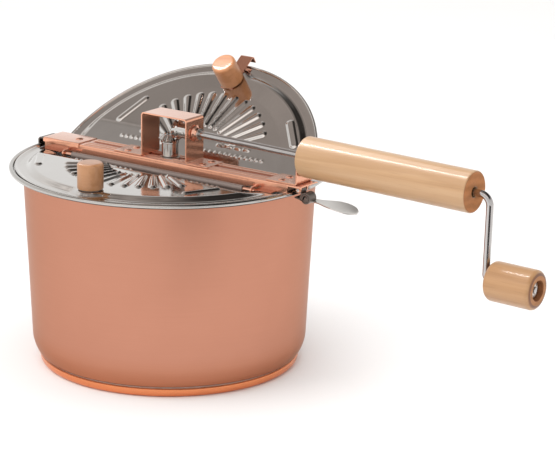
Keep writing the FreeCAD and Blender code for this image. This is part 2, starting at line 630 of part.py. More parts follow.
l0, lm, l1, l2 = bend_pts(-1)
q0, qm, q1, q2 = bend_pts(1)
ap = Part.Wire([line(l2, l1), arc3(l1, lm, l0), line(l0, q0), arc3(q0, qm, q1), line(q1, q2)])
d = V(*l1) - V(*l2)
apr = Part.Wire(Part.makeCircle(AG_r, V(*l2), d))
out(ap.makePipeShell([apr], True, False), "agitator_wire")

# ---------------------------------------------------------------- latch
pin = cyl(LP_r, 17.0, (LP_X, -10.6, LP_Z), Y)
pin = pin.makeChamfer(0.3, [e for e in pin.Edges if e.Closed])
out(pin, "latch_pin")

# return spring wound on the pin
hx = Part.makeHelix(0.85, 4.0, 1.8)
wp = Part.Wire(Part.makeCircle(0.3, V(1.8, 0, 0), Y))
try:
    spring = Part.Wire(hx).makePipeShell([wp], True, True)
    spring.rotate(O, X, -90)
    spring.translate(V(LP_X, 0.75, LP_Z))
    out(spring, "latch_spring")
except Exception as exc:
    print("spring failed", exc)

# lever: eye on the pin, arm down outside the bead, jaw under it, thumb tongue
ey0, ey1 = -7.9, -1.4
eye = cyl(1.95, ey1 - ey0, (LP_X, ey0, LP_Z), Y)
arm = ribbon([(LP_X + 1.45, LP_Z), (LP_X + 1.45, 153.6)], 1.0, ey0, ey1)
jaw = ribbon([(125.4, 154.4), (129.6, 154.0), (132.3, 154.6), (134.2, 156.6), (135.6, 156.2), (135.8, 154.2), (134.4, 152.2), (131.6, 151.2), (129.0, 151.4)], 1.1, -8.0, 8.0)
tongue_pts = [(133.0, 152.4), (143.5, 152.6), (155.0, 152.4), (167.0, 150.9), (177.6, 148.6)]
strip = ribbon(tongue_pts, 1.1, -12, 12)
outl = [(132.0, -5.0), (137.0, -4.6), (141.5, -4.4), (146.0, -5.4), (152.0, -8.3), (158.0, -10.3), (164.0, -11.0), (170.0, -10.3),
        (174.5, -7.2), (177.2, -3.6), (178.0, 0.0)]
ring = outl + [(x, -y) for x, y in reversed(outl[:-1])]
plan = Part.Face(poly([(x, y, 140) for x, y in ring])).extrude(V(0, 0, 30))
tongue = strip.common(plan)
lever = eye.fuse([arm, jaw, tongue])
lever = lever.cut(cyl(LP_r + 0.06, 30, (LP_X, -15, LP_Z), Y)).removeSplitter()
out(lever, "latch_lever")
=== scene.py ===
import math

import bpy
import numpy as np
from mathutils import Matrix, Vector


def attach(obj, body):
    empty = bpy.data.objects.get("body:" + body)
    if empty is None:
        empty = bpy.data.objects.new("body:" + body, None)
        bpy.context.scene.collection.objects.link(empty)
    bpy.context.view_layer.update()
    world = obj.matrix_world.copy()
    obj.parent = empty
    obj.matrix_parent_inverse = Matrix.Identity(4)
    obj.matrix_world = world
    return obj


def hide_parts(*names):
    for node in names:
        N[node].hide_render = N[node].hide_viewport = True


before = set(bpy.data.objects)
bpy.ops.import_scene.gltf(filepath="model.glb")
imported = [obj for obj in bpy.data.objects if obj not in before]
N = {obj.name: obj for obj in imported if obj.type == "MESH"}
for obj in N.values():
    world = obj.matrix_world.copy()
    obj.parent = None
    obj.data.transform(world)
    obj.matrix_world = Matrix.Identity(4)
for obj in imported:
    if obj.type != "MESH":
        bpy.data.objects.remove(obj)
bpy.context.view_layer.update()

SC = bpy.context.scene
MM = 0.001
FRAME_W, FRAME_H = 555, 450

# ------------------------------------------------------------------ dimensions, millimetres
HINGE_Y, HINGE_Z = 18.0, 157.0
REAR_OPEN = 38.0
SHAFT_Z, DROOP = 188.8, 1.25
LID_R, LID_Z = 122.5, 157.5
REAR_KNOB = (0.0, 103.0, 14.5)        # x, y and boss radius, in the lid's own closed frame
FRONT_KNOB = (-6.0, 106.03, 12.9)
ROD_R = 2.75


# ------------------------------------------------------------------ node helpers
class Mat:
    """A Principled material with short helpers for its nodes."""

    def __init__(self, name, **sockets):
        self.m = bpy.data.materials.new(name)
        self.m.use_nodes = True
        self.nt = self.m.node_tree
        self.nt.nodes.clear()
        self.out = self.nt.nodes.new("ShaderNodeOutputMaterial")
        self.p = self.nt.nodes.new("ShaderNodeBsdfPrincipled")
        self.nt.links.new(self.p.outputs[0], self.out.inputs[0])
        for k, v in sockets.items():
            self.p.inputs[k.replace("_", " ")].default_value = v
        self.tc = None

    def add(self, kind, **props):
        n = self.nt.nodes.new(kind)
        for k, v in props.items():
            setattr(n, k, v)
        return n

    def link(self, a, b):
        self.nt.links.new(a, b)

    def coord(self, scale=(1, 1, 1), rot=(0, 0, 0), loc=(0, 0, 0), which="Object"):
        if self.tc is None:
            self.tc = self.add("ShaderNodeTexCoord")
        mp = self.add("ShaderNodeMapping")
        mp.inputs["Scale"].default_value = scale
        mp.inputs["Rotation"].default_value = rot
        mp.inputs["Location"].default_value = loc
        self.link(self.tc.outputs[which], mp.inputs["Vector"])
        return mp.outputs[0]

    def noise(self, vec, scale=5.0, detail=3.0, rough=0.5, dist=0.0):
        n = self.add("ShaderNodeTexNoise")
        n.inputs["Scale"].default_value = scale
        n.inputs["Detail"].default_value = detail
        n.inputs["Roughness"].default_value = rough
        n.inputs["Distortion"].default_value = dist
        self.link(vec, n.inputs["Vector"])
        return n.outputs["Fac"]

    def wave(self, vec, scale, dist, detail=2.0, dscale=1.0, kind="RINGS", axis="X"):
        n = self.add("ShaderNodeTexWave", wave_type=kind)
        if kind == "RINGS":
            n.rings_direction = axis
        else:
            n.bands_direction = axis
        n.inputs["Scale"].default_value = scale
        n.inputs["Distortion"].default_value = dist
        n.inputs["Detail"].default_value = detail
        n.inputs["Detail Scale"].default_value = dscale
        self.link(vec, n.inputs["Vector"])
        return n.outputs["Fac"]

    def ramp(self, fac, stops, interp="LINEAR"):
        n = self.add("ShaderNodeValToRGB")
        n.color_ramp.interpolation = interp
        e = n.color_ramp.elements
        while len(e) < len(stops):
            e.new(0.5)
        for el, (p, c) in zip(e, stops):
            el.position = p
            el.color = (*c, 1.0) if len(c) == 3 else c
        self.link(fac, n.inputs[0])
        return n.outputs[0]

    def rng(self, v, a, b, c, d, smooth=False):
        n = self.add("ShaderNodeMapRange")
        if smooth:
            n.interpolation_type = "SMOOTHSTEP"
        for i, x in zip((1, 2, 3, 4), (a, b, c, d)):
            n.inputs[i].default_value = x
        self.link(v, n.inputs[0])
        return n.outputs[0]

    def math(self, op, a, b=None):
        n = self.add("ShaderNodeMath", operation=op)
        for i, x in enumerate((a, b)):
            if x is None:
                continue
            if isinstance(x, (int, float)):
                n.inputs[i].default_value = x
            else:
                self.link(x, n.inputs[i])
        return n.outputs[0]

    def mix(self, fac, a, b, mode="MIX"):
        n = self.add("ShaderNodeMix", data_type="RGBA", blend_type=mode)
        for sock, x in ((n.inputs[0], fac), (n.inputs[6], a), (n.inputs[7], b)):
            if isinstance(x, (int, float)):
                sock.default_value = x
            elif isinstance(x, tuple):
                sock.default_value = (*x, 1.0)
            else:
                self.link(x, sock)
        return n.outputs[2]

    def bump(self, height, strength, distance, normal=None):
        n = self.add("ShaderNodeBump")
        n.inputs["Strength"].default_value = strength
        n.inputs["Distance"].default_value = distance
        self.link(height, n.inputs["Height"])
        if normal is not None:
            self.link(normal, n.inputs["Normal"])
        return n.outputs[0]

    def to(self, sock, out):
        self.link(out, self.p.inputs[sock])
        return self


def scaled(c, k):
    return tuple(min(1.0, x * k) for x in c)


def metal(name, base, rough, dr=0.03, var=0.06, cloud=18.0, grain=(4, 4, 4), grain_scale=60.0, grain_bump=0.04,
          wave_bump=0.0, wave_scale=14.0, rot=(0, 0, 0), tint=None, level=None, edge=None):
    """Bare metal: cloudy colour and gloss, drawn or brushed grain, optional waviness of the sheet, optional painted
    highlight on level faces.
    """
    m = Mat(name, Metallic=1.0)
    c = m.coord()
    g = m.coord(scale=grain, rot=rot)
    clouds = m.noise(c, cloud, 4.0, 0.55)
    streak = m.noise(g, grain_scale, 4.0, 0.6)
    fac = m.math("ADD", m.math("MULTIPLY", clouds, 0.6), m.math("MULTIPLY", streak, 0.4))
    dark = scaled(tint or base, 1 - var)
    col = m.ramp(fac, [(0.3, dark), (0.7, scaled(base, 1 + var))])
    if level:
        # painted highlight: faces that look up are mixed towards a paler colour, standing in for the bright sky they
        # reflect
        sep = m.add("ShaderNodeSeparateXYZ")
        m.link(m.coord(which="Normal"), sep.inputs[0])
        top_sheen_col = m.ramp(fac, [(0.3, scaled(level, 1 - var)), (0.7, scaled(level, 1 + var))])
        col = m.mix(m.rng(sep.outputs[2], 0.55, 0.97, 0.0, 1.0, True), col, top_sheen_col)
    if edge:
        m.p.inputs["Specular Tint"].default_value = (*edge, 1.0)
    m.to("Base Color", col)
    m.to("Roughness", m.rng(fac, 0.3, 0.7, rough + dr, rough - dr))
    nrm = m.bump(streak, grain_bump, 0.0004)
    if wave_bump:
        nrm = m.bump(m.noise(c, wave_scale, 2.0, 0.4), wave_bump, 0.004, nrm)
    m.to("Normal", nrm)
    return m.m


def maple(name, rot=(0, 0, 0), pith=(0, 0.021, 0.013), light=(0.80, 0.53, 0.30), dark=(0.67, 0.40, 0.20), seed=0.0, end=(1, 0, 0), end_dark=0.62, end_warm=(1.0, 0.72, 0.5)):
    """Lacquered pale wood as a solid texture: fibres and growth rings along local X, darker end grain."""
    m = Mat(name)
    m.p.inputs["Specular IOR Level"].default_value = 0.42
    m.p.inputs["Coat Weight"].default_value = 0.42
    m.p.inputs["Coat Roughness"].default_value = 0.11
    v = m.coord(rot=rot, loc=pith)
    w = m.coord(rot=rot, scale=(0.12, 1, 1), loc=(seed, pith[1], pith[2]))
    rings = m.wave(w, 36.0, 4.5, 3.0, 1.2)
    fib = m.noise(m.coord(rot=rot, scale=(7, 190, 190), loc=(seed, 0, 0)), 4.0, 5.0, 0.6)
    broad = m.noise(m.coord(rot=rot, scale=(4, 40, 40), loc=(seed * 2 + 0.3, 0, 0)), 1.6, 3.0, 0.5)
    pores = m.noise(m.coord(rot=rot, scale=(55, 1100, 1100), loc=(seed, 0, 0)), 1.0, 2.0, 0.5)
    f = m.math("ADD", m.math("MULTIPLY", rings, 0.16), m.math("ADD", m.math("MULTIPLY", fib, 0.40), m.math("MULTIPLY", broad, 0.50)))
    col = m.ramp(f, [(0.32, scaled(dark, 0.90)), (0.52, tuple((a + b) / 2 for a, b in zip(light, dark))), (0.70, light)], "EASE")
    # a few long soft streaks of darker and of paler wood
    streak = m.noise(m.coord(rot=rot, scale=(3.2, 62, 62), loc=(seed + 0.7, 0.21, 0.4)), 1.5, 2.0, 0.45, 0.6)
    col = m.mix(m.rng(streak, 0.53, 0.66, 0.0, 0.55, True), col, tuple(c_ * k_ for c_, k_ in zip(dark, (0.84, 0.80, 0.72))))
    col = m.mix(m.rng(streak, 0.34, 0.45, 0.35, 0.0, True), col, tuple(min(1.0, c_ * k_) for c_, k_ in zip(light, (1.04, 1.07, 1.12))))
    col = m.mix(m.rng(pores, 0.60, 0.72, 0.0, 0.26), col, scaled(dark, 0.72))
    # end grain: where the surface looks along the fibres
    nv = m.coord(which="Normal")
    dot = m.add("ShaderNodeVectorMath", operation="DOT_PRODUCT")
    m.link(nv, dot.inputs[0])
    dot.inputs[1].default_value = end
    facing = m.rng(m.math("ABSOLUTE", dot.outputs["Value"]), 0.72, 0.97, 0.0, 1.0, True)
    ring2 = m.wave(v, 44.0, 3.0, 3.0, 2.0)
    warm = tuple(c_ * k_ for c_, k_ in zip(dark, end_warm))
    endc = m.ramp(ring2, [(0.1, scaled(warm, end_dark * 0.93)), (0.9, scaled(warm, end_dark * 1.07))])
    m.to("Base Color", m.mix(facing, col, endc))
    m.to("Roughness", m.rng(f, 0.3, 0.75, 0.46, 0.34))
    m.to("Normal", m.bump(fib, 0.06, 0.0003, m.bump(pores, 0.05, 0.0002)))
    return m.m


def end_grain(name, base, rot=(0, 0, 0), pith=(0, 0.021, 0.013)):
    """Sawn, dull end of a dowel: growth rings and open pores."""
    m = Mat(name)
    m.p.inputs["Specular IOR Level"].default_value = 0.10
    v = m.coord(rot=rot, loc=pith)
    ring = m.wave(v, 44.0, 3.0, 3.0, 2.0)
    pore = m.noise(m.coord(rot=rot), 900.0, 2.0, 0.5)
    col = m.ramp(ring, [(0.1, scaled(base, 0.90)), (0.9, scaled(base, 1.08))])
    m.to("Base Color", m.mix(m.rng(pore, 0.55, 0.70, 0.0, 0.35), col, scaled(base, 0.70)))
    m.to("Roughness", m.rng(pore, 0.3, 0.7, 0.55, 0.68))
    m.to("Normal", m.bump(pore, 0.08, 0.0002))
    return m.m


# ------------------------------------------------------------------ materials
def pot_copper():
    """Satin spun copper, with painted shade: darker and redder towards the base."""
    m = Mat("copper_satin", Metallic=1.0)
    c = m.coord()
    clouds = m.noise(c, 9.0, 4.0, 0.55)
    streak = m.noise(m.coord(scale=(3, 3, 420)), 6.0, 4.0, 0.6)
    fac = m.math("ADD", m.math("MULTIPLY", clouds, 0.6), m.math("MULTIPLY", streak, 0.4))
    sep = m.add("ShaderNodeSeparateXYZ")
    m.link(c, sep.inputs[0])
    # painted shade: below 36 mm the copper is mixed more and more (up to 55%) towards a darker, redder copper, for the
    # reflected shade of the floor by the pot
    low = m.rng(sep.outputs[2], 0.008, 0.036, 0.55, 0.0, True)
    body = m.ramp(fac, [(0.3, (0.505, 0.231, 0.154)), (0.7, (0.545, 0.255, 0.173))])
    m.p.inputs["Specular Tint"].default_value = (0.76, 0.69, 0.64, 1.0)
    foot = m.ramp(fac, [(0.3, (0.415, 0.136, 0.052)), (0.7, (0.455, 0.154, 0.062))])
    m.to("Base Color", m.mix(low, body, foot))
    m.to("Roughness", m.rng(fac, 0.3, 0.7, 0.36, 0.31))
    m.to("Normal", m.bump(streak, 0.05, 0.0004))
    return m.m


COPPER_POT = pot_copper()
COPPER_CAP = metal("copper_base", (0.80, 0.28, 0.122), 0.25, 0.03, 0.05, 12.0, (3, 3, 420), 6.0, 0.05)
# painted highlight: the level faces of this copper are paler than its upright ones
COPPER_BAR = metal("copper_bright", (0.86, 0.43, 0.285), 0.12, 0.03, 0.06, 26.0, (3, 300, 300), 5.0, 0.10, 0.02, 30.0, level=(0.81, 0.52, 0.42))
COPPER_BAR.node_tree.nodes["Principled BSDF"].inputs["Metallic"].default_value = 0.76
# painted shade: a darker copy of the bridge copper, for the level tabs beside the ears
COPPER_TAB_SHADED = metal("copper_tab_shaded", (0.40, 0.17, 0.115), 0.22, 0.04, 0.08, 40.0, (3, 300, 300), 5.0, 0.10)
# painted shade: a darker copy of the bridge copper, for the channels between the ridges
COPPER_CHANNEL_SHADE = metal("copper_channel_shade", (0.58, 0.255, 0.175), 0.16, 0.04, 0.08, 30.0, (3, 300, 300), 5.0, 0.10)
COPPER_ROD = metal("copper_drawn", (0.88, 0.48, 0.35), 0.16, 0.03, 0.06, 40.0, (4, 200, 200), 6.0, 0.06)
COPPER_CATCH = metal("copper_catch", (0.72, 0.36, 0.25), 0.20, 0.04, 0.08, 60.0, (200, 5, 200), 6.0, 0.08)
LID_STEEL = metal("steel_mirror", (0.655, 0.632, 0.61), 0.085, 0.02, 0.03, 22.0, (60, 6, 60), 8.0, 0.03, 0.06, 26.0)
TUBE_STEEL = metal("steel_rolled", (0.24, 0.19, 0.17), 0.27, 0.04, 0.10, 40.0, (4, 300, 300), 6.0, 0.10)
TUBE_STEEL.node_tree.nodes["Principled BSDF"].inputs["Metallic"].default_value = 0.35
# painted shade: near-black copper for the groove where the pot meets the base cup
GROOVE_SHADE = metal("copper_groove_shade", (0.16, 0.065, 0.035), 0.5, 0.04, 0.1, 40.0, (3, 3, 300), 6.0, 0.05)


def rim_steel():
    """Bright rolled bead, with painted shade: its lower half and the flange under it turn near black."""
    m = Mat("steel_bead", Metallic=1.0)
    c = m.coord()
    sep = m.add("ShaderNodeSeparateXYZ")
    m.link(c, sep.inputs[0])
    streak = m.noise(m.coord(scale=(3, 3, 300)), 6.0, 4.0, 0.6)
    bead_unshaded = m.ramp(streak, [(0.3, (0.50, 0.485, 0.465)), (0.7, (0.56, 0.545, 0.525))])
    # painted shade: below about 157 to 158 mm the bead is mixed to near black, standing in for the shadow under the
    # bead
    low = m.math("ADD", sep.outputs[2], m.math("MULTIPLY", m.noise(c, 60.0, 3.0), 0.0003))
    m.to("Base Color", m.mix(m.rng(low, 0.15690, 0.15795, 1.0, 0.0, True), bead_unshaded, (0.055, 0.048, 0.042)))
    m.to("Roughness", m.rng(streak, 0.3, 0.7, 0.15, 0.11))
    m.to("Normal", m.bump(streak, 0.04, 0.0004))
    return m.m


RIM_STEEL = rim_steel()
POT_STEEL = metal("steel_inside", (0.66, 0.655, 0.645), 0.27, 0.04, 0.05, 12.0, (3, 3, 400), 6.0, 0.06)
POT_STEEL.node_tree.nodes["Principled BSDF"].inputs["Metallic"].default_value = 0.6
SATIN_STEEL = metal("steel_satin", (0.72, 0.70, 0.675), 0.30, 0.04, 0.06, 40.0, (120, 6, 120), 8.0, 0.08)
PALE_STEEL = metal("steel_pale", (0.82, 0.79, 0.74), 0.42, 0.04, 0.06, 60.0, (60, 60, 60), 9.0, 0.06)
DARK_STEEL = metal("steel_dark", (0.17, 0.145, 0.13), 0.34, 0.06, 0.15, 60.0, (40, 40, 40), 8.0, 0.08)
CHROME = metal("steel_bright_rod", (0.50, 0.478, 0.472), 0.10, 0.02, 0.04, 30.0, (3, 300, 300), 6.0, 0.03)
GEAR = metal("gear_plate", (0.62, 0.60, 0.58), 0.16, 0.05, 0.10, 90.0, (60, 60, 60), 9.0, 0.06)
ALU = metal("aluminium_core", (0.80, 0.80, 0.80), 0.38, 0.05, 0.05, 30.0, (60, 60, 60), 9.0, 0.05)
D_ROT = (0.0, math.radians(-DROOP), 0.0)
WOOD_HANDLE = maple("maple_handle", D_ROT, (0, 0.021, 0.013), (0.50, 0.312, 0.168), (0.445, 0.257, 0.125), 0.0, (1, 0, 0), 0.64, (1.06, 0.64, 0.36))
WOOD_CRANK = maple("maple_crank_knob", D_ROT, (0, 0.017, 0.055), (0.455, 0.258, 0.124), (0.39, 0.205, 0.09), 0.9, (1, 0, 0), 0.46, (1.0, 0.66, 0.42))
WOOD_FRONT = maple("maple_front_knob", (0, math.radians(90), 0), (0.0, 0.115, 0.012), (0.43, 0.21, 0.095), (0.375, 0.17, 0.07), 1.7, (0, 0, 1), 1.1, (0.95, 1.08, 1.5))
END_HANDLE = end_grain("maple_handle_end", (0.44, 0.187, 0.075), D_ROT)
END_CRANK = end_grain("maple_crank_end", (0.42, 0.205, 0.10), D_ROT, (0, 0.017, 0.055))
# painted shade: end grain at half brightness for the counterbore in the crank knob
END_HOLE_SHADE = end_grain("maple_crank_hole_shade", (0.21, 0.082, 0.034), D_ROT, (0, 0.017, 0.055))
_ra = math.radians(REAR_OPEN)
WOOD_REAR = maple("maple_rear_knob", (math.radians(-REAR_OPEN), math.radians(90), 0), (0.0, -0.08, 0.02), (0.58, 0.262, 0.115), (0.50, 0.205, 0.08), 2.6,
                  (0, -math.sin(_ra), math.cos(_ra)), 1.1, (1, 1, 1))


# ------------------------------------------------------------------ mesh helpers (millimetres in, metres out)
def make(name, verts, faces, mats, midx=None, sharp=35.0, mat4=None, bevel=0.0, seg=2):
    me = bpy.data.meshes.new(name)
    v = np.asarray(verts, float)
    if mat4 is not None:
        a = np.array(mat4, float)
        v = v @ a[:3, :3].T + a[:3, 3]
    me.from_pydata([tuple(p) for p in v * MM], [], [tuple(f) for f in faces])
    for m in mats if isinstance(mats, (list, tuple)) else [mats]:
        me.materials.append(m)
    if midx is not None:
        me.polygons.foreach_set("material_index", list(midx))
    me.polygons.foreach_set("use_smooth", [True] * len(me.polygons))
    me.update()
    if sharp is not None:
        me.set_sharp_from_angle(angle=math.radians(sharp))
    o = bpy.data.objects.new(name, me)
    SC.collection.objects.link(o)
    if bevel:
        b = o.modifiers.new("edge", "BEVEL")
        b.width, b.segments, b.limit_method, b.angle_limit = bevel * MM, seg, "ANGLE", math.radians(40)
        b.harden_normals = True
        b.use_clamp_overlap = True
    return o


def rounded(pts, seg=6, closed=False):
    """Polyline through (u, v) or (u, v, r) points, with each r a round corner."""
    res, n = [], len(pts)
    for i, p in enumerate(pts):
        r = p[2] if len(p) > 2 else 0.0
        if r <= 0 or (not closed and i in (0, n - 1)):
            res.append((p[0], p[1]))
            continue
        a, b, c = (np.array(pts[(i + k) % n][:2], float) for k in (-1, 0, 1))
        d0, d1 = (a - b) / np.linalg.norm(a - b), (c - b) / np.linalg.norm(c - b)
        ang = math.acos(max(-1, min(1, float(d0 @ d1))))
        t = r / math.tan(ang / 2)
        p0, p1 = b + d0 * t, b + d1 * t
        h = (d0 + d1) / np.linalg.norm(d0 + d1)
        cen = b + h * (r / math.sin(ang / 2))
        a0, a1 = math.atan2(*(p0 - cen)[::-1]), math.atan2(*(p1 - cen)[::-1])
        da = (a1 - a0 + math.pi) % (2 * math.pi) - math.pi
        for k in range(seg + 1):
            t_ = a0 + da * k / seg
            res.append((cen[0] + r * math.cos(t_), cen[1] + r * math.sin(t_)))
    return res


def lathe(profile, n=96, closed=False):
    """Surface of revolution about Z of (r, z) points; a point with r = 0 is a pole. Returns verts, faces and the profile segment of each face."""
    verts, rows = [], []
    for r, z in profile:
        if r < 1e-6:
            rows.append([len(verts)])
            verts.append((0, 0, z))
        else:
            rows.append(list(range(len(verts), len(verts) + n)))
            verts += [(r * math.cos(2 * math.pi * k / n), r * math.sin(2 * math.pi * k / n), z) for k in range(n)]
    faces, seg = [], []
    m = len(rows)
    for i in range(m if closed else m - 1):
        a, b = rows[i], rows[(i + 1) % m]
        for k in range(n):
            k2 = (k + 1) % n
            if len(a) == 1 and len(b) == 1:
                continue
            if len(a) == 1:
                f = (a[0], b[k2], b[k])
            elif len(b) == 1:
                f = (a[k], a[k2], b[0])
            else:
                f = (a[k], a[k2], b[k2], b[k])
            faces.append(f)
            seg.append(i)
    return verts, faces, seg


# lathe built about Z, laid along +X: z -> x
LAY = Matrix(((0, 0, 1, 0), (0, 1, 0, 0), (-1, 0, 0, 0), (0, 0, 0, 1)))
TO_SHAFT = Matrix.Translation((0, 0, SHAFT_Z)) @ Matrix.Rotation(math.radians(DROOP), 4, "Y")


def extrude(outline, w0, w1, put, cap=True):
    """Prism of a closed 2-D outline; put(u, v, w) gives the point."""
    n = len(outline)
    verts = [put(u, v, w0) for u, v in outline] + [put(u, v, w1) for u, v in outline]
    faces = [(i, (i + 1) % n, n + (i + 1) % n, n + i) for i in range(n)]
    if cap:
        faces += [tuple(range(n))[::-1], tuple(range(n, 2 * n))]
    return verts, faces


def strip_outline(path, t, seg=8):
    """Closed outline of a bent sheet of thickness t, whose middle line is the rounded path."""
    p = np.array(rounded(path, seg), float)
    d = np.gradient(p, axis=0)
    d[0], d[-1] = p[1] - p[0], p[-1] - p[-2]
    for i in range(1, len(p) - 1):
        a = (p[i] - p[i - 1]) / np.linalg.norm(p[i] - p[i - 1])
        b = (p[i + 1] - p[i]) / np.linalg.norm(p[i + 1] - p[i])
        d[i] = a + b
    d /= np.linalg.norm(d, axis=1, keepdims=True)
    nrm = np.stack([-d[:, 1], d[:, 0]], 1)
    k = np.ones(len(p))
    for i in range(1, len(p) - 1):
        a = (p[i] - p[i - 1]) / np.linalg.norm(p[i] - p[i - 1])
        k[i] = 1 / max(0.5, float(a @ d[i]))
    up, dn = p + nrm * (t / 2) * k[:, None], p - nrm * (t / 2) * k[:, None]
    return [tuple(q) for q in up] + [tuple(q) for q in dn[::-1]]


def XZ(u, v, w):
    return (u, w, v)


def fix_normals(o):
    """Outward faces on a closed mesh."""
    import bmesh
    bm = bmesh.new()
    bm.from_mesh(o.data)
    bmesh.ops.recalc_face_normals(bm, faces=bm.faces)
    bm.to_mesh(o.data)
    bm.free()
    return o


def tube(path, r, n=20, cap_round=0.0):
    """Round bar along 3-D points, with slightly rounded ends."""
    p = np.asarray(path, float)
    rad = np.full(len(p), r)
    if cap_round > 0:
        def ends(p, rad):
            d = p[1] - p[0]
            d /= np.linalg.norm(d)
            pts, rr = [], []
            for k in range(4):
                a = math.pi / 2 * k / 4
                pts.append(p[0] + d * cap_round * (1 - math.sin(a)))
                rr.append(r - cap_round + cap_round * math.cos(a))
            return np.array(pts[::-1]), np.array(rr[::-1])
        h, hr = ends(p, rad)
        t, tr = ends(p[::-1], rad)
        p = np.vstack([h, p[1:-1], t[::-1]])
        rad = np.concatenate([hr, rad[1:-1], tr[::-1]])
    d = np.zeros_like(p)
    d[1:-1] = p[2:] - p[:-2]
    d[0], d[-1] = p[1] - p[0], p[-1] - p[-2]
    d /= np.linalg.norm(d, axis=1, keepdims=True)
    u = np.cross(d[0], (0.123, 0.7, 0.35))
    u /= np.linalg.norm(u)
    verts, faces = [], []
    for i in range(len(p)):
        u = u - d[i] * (u @ d[i])
        u /= np.linalg.norm(u)
        w = np.cross(d[i], u)
        for k in range(n):
            a = 2 * math.pi * k / n
            verts.append(p[i] + rad[i] * (u * math.cos(a) + w * math.sin(a)))
    for i in range(len(p) - 1):
        for k in range(n):
            k2 = (k + 1) % n
            faces.append((i * n + k, i * n + k2, (i + 1) * n + k2, (i + 1) * n + k))
    faces.append(tuple(range(n))[::-1])
    faces.append(tuple(range((len(p) - 1) * n, len(p) * n)))
    return verts, faces


def arc_path(c, r, a0, a1, n=10):
    return [(c[0] + r * math.cos(math.radians(a0 + (a1 - a0) * k / n)), 0, c[1] + r * math.sin(math.radians(a0 + (a1 - a0) * k / n))) for k in range(n + 1)]


def join(parts):
    """Several (verts, faces, material index) lists as one."""
    V, F, I = [], [], []
    for v, f, i in parts:
        o = len(V)
        V += [tuple(x) for x in v]
        F += [tuple(o + k for k in q) for q in f]
        I += list(i) if isinstance(i, (list, tuple, np.ndarray)) else [i] * len(f)
    return V, F, I


def piece(o, body, slot, *nodes):
    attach(o, body)
    if nodes:
        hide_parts(*nodes)
    return o


ROOT = "pot_and_frame"

# ------------------------------------------------------------------ pot: copper outside, rolled steel bead, steel inside
wall0, wall1 = (109.8, 25.0), (116.0, 154.2)
cx, cz, cr = 109.8 - 28.0, 25.0, 28.0
outer = [(0, 4.0), (92.6, 4.0)]
outer += rounded([(92.6, 4.0), (100.9, 7.35, 0.6), (101.6, 8.2)], 3)[1:]
a_s = math.degrees(math.atan2(9.0 - cz, math.sqrt(cr * cr - (cz - 9.0) ** 2)))
outer += [(cx + (cr - 0.7) * math.cos(math.radians(a_s - 1.2)), cz + (cr - 0.7) * math.sin(math.radians(a_s - 1.2)))]
outer += [(cx + cr * math.cos(math.radians(a_s + (0 - a_s) * k / 26)), cz + cr * math.sin(math.radians(a_s + (0 - a_s) * k / 26))) for k in range(27)]
outer += [(109.8 + 6.2 * k / 12, 25.0 + 129.2 * k / 12) for k in range(1, 12)]
outer += rounded([wall1, (116.1, 156.3, 2.0), (121.0, 156.3)], 8)
i_bead = len(outer) - 1
bead = [(125.2 + 1.8 * math.cos(math.radians(a)), 158.0 + 1.8 * math.sin(math.radians(a))) for a in range(205, 540, 15)]
outer += [(123.4, 156.3)] + bead
i_in = len(outer)
inner = [(123.0, 157.1)] + rounded([(118.0, 157.1), (115.25, 157.1, 2.4), (115.2, 154.2)], 8)
inner += [(109.0 + 6.2 * k / 12, 25.0 + 129.2 * k / 12) for k in range(11, 0, -1)]
inner += [(cx + 27.2 * math.cos(math.radians(-62.0 * k / 26)), cz + 27.2 * math.sin(math.radians(-62.0 * k / 26))) for k in range(27)]
inner = [p for p in inner if p[1] > 4.8]
inner += [(80.0, 4.8), (0, 4.8)]
prof = outer + inner
v, f, s = lathe(prof, 288)
groove = [k for k in range(len(outer) - 1) if 6.6 < outer[k][1] < 9.4 and outer[k + 1][1] < 9.8 and outer[k][0] > 98.0]
# the groove above the base cup gets the painted-shade copper (slot 3)
mi = [3 if k in groove else (0 if k < i_bead else (1 if k < i_in else 2)) for k in s]
pot = make("pot", v, f, [COPPER_POT, RIM_STEEL, POT_STEEL, GROOVE_SHADE], mi, 40.0)
fix_normals(pot)
piece(pot, ROOT, "copper_pot", "pot_shell")

cap_prof = [(0, 0), (96.0, 0)] + rounded([(97.0, 0), (103.9, 0, 4.4), (103.85, 6.9, 0.75), (100.6, 7.0)], 9) + [(100.4, 5.6), (98.0, 1.2), (0, 1.2)]
v, f, s = lathe(cap_prof, 288)
cap = fix_normals(make("base_cup", v, f, COPPER_CAP, None, 40.0))
piece(cap, ROOT, "copper_pot", "base_cap")


# ------------------------------------------------------------------ lids
def capsule(x, y, p0, p1, r0, r1=None):
    """Distance outside a tapered bar from p0 to p1, in units of its radius (0 on its axis, 1 on its edge)."""
    r1 = r0 if r1 is None else r1
    dx, dy = p1[0] - p0[0], p1[1] - p0[1]
    t = np.clip(((x - p0[0]) * dx + (y - p0[1]) * dy) / (dx * dx + dy * dy), 0, 1)
    return np.hypot(x - p0[0] - t * dx, y - p0[1] - t * dy) / (r0 + (r1 - r0) * t)


def dome(u, flat=0.45):
    """Pressed shape: level to flat, then down to 0 at the edge."""
    t = np.clip((1 - u) / (1 - flat), 0, 1)
    return t * t * (3 - 2 * t)


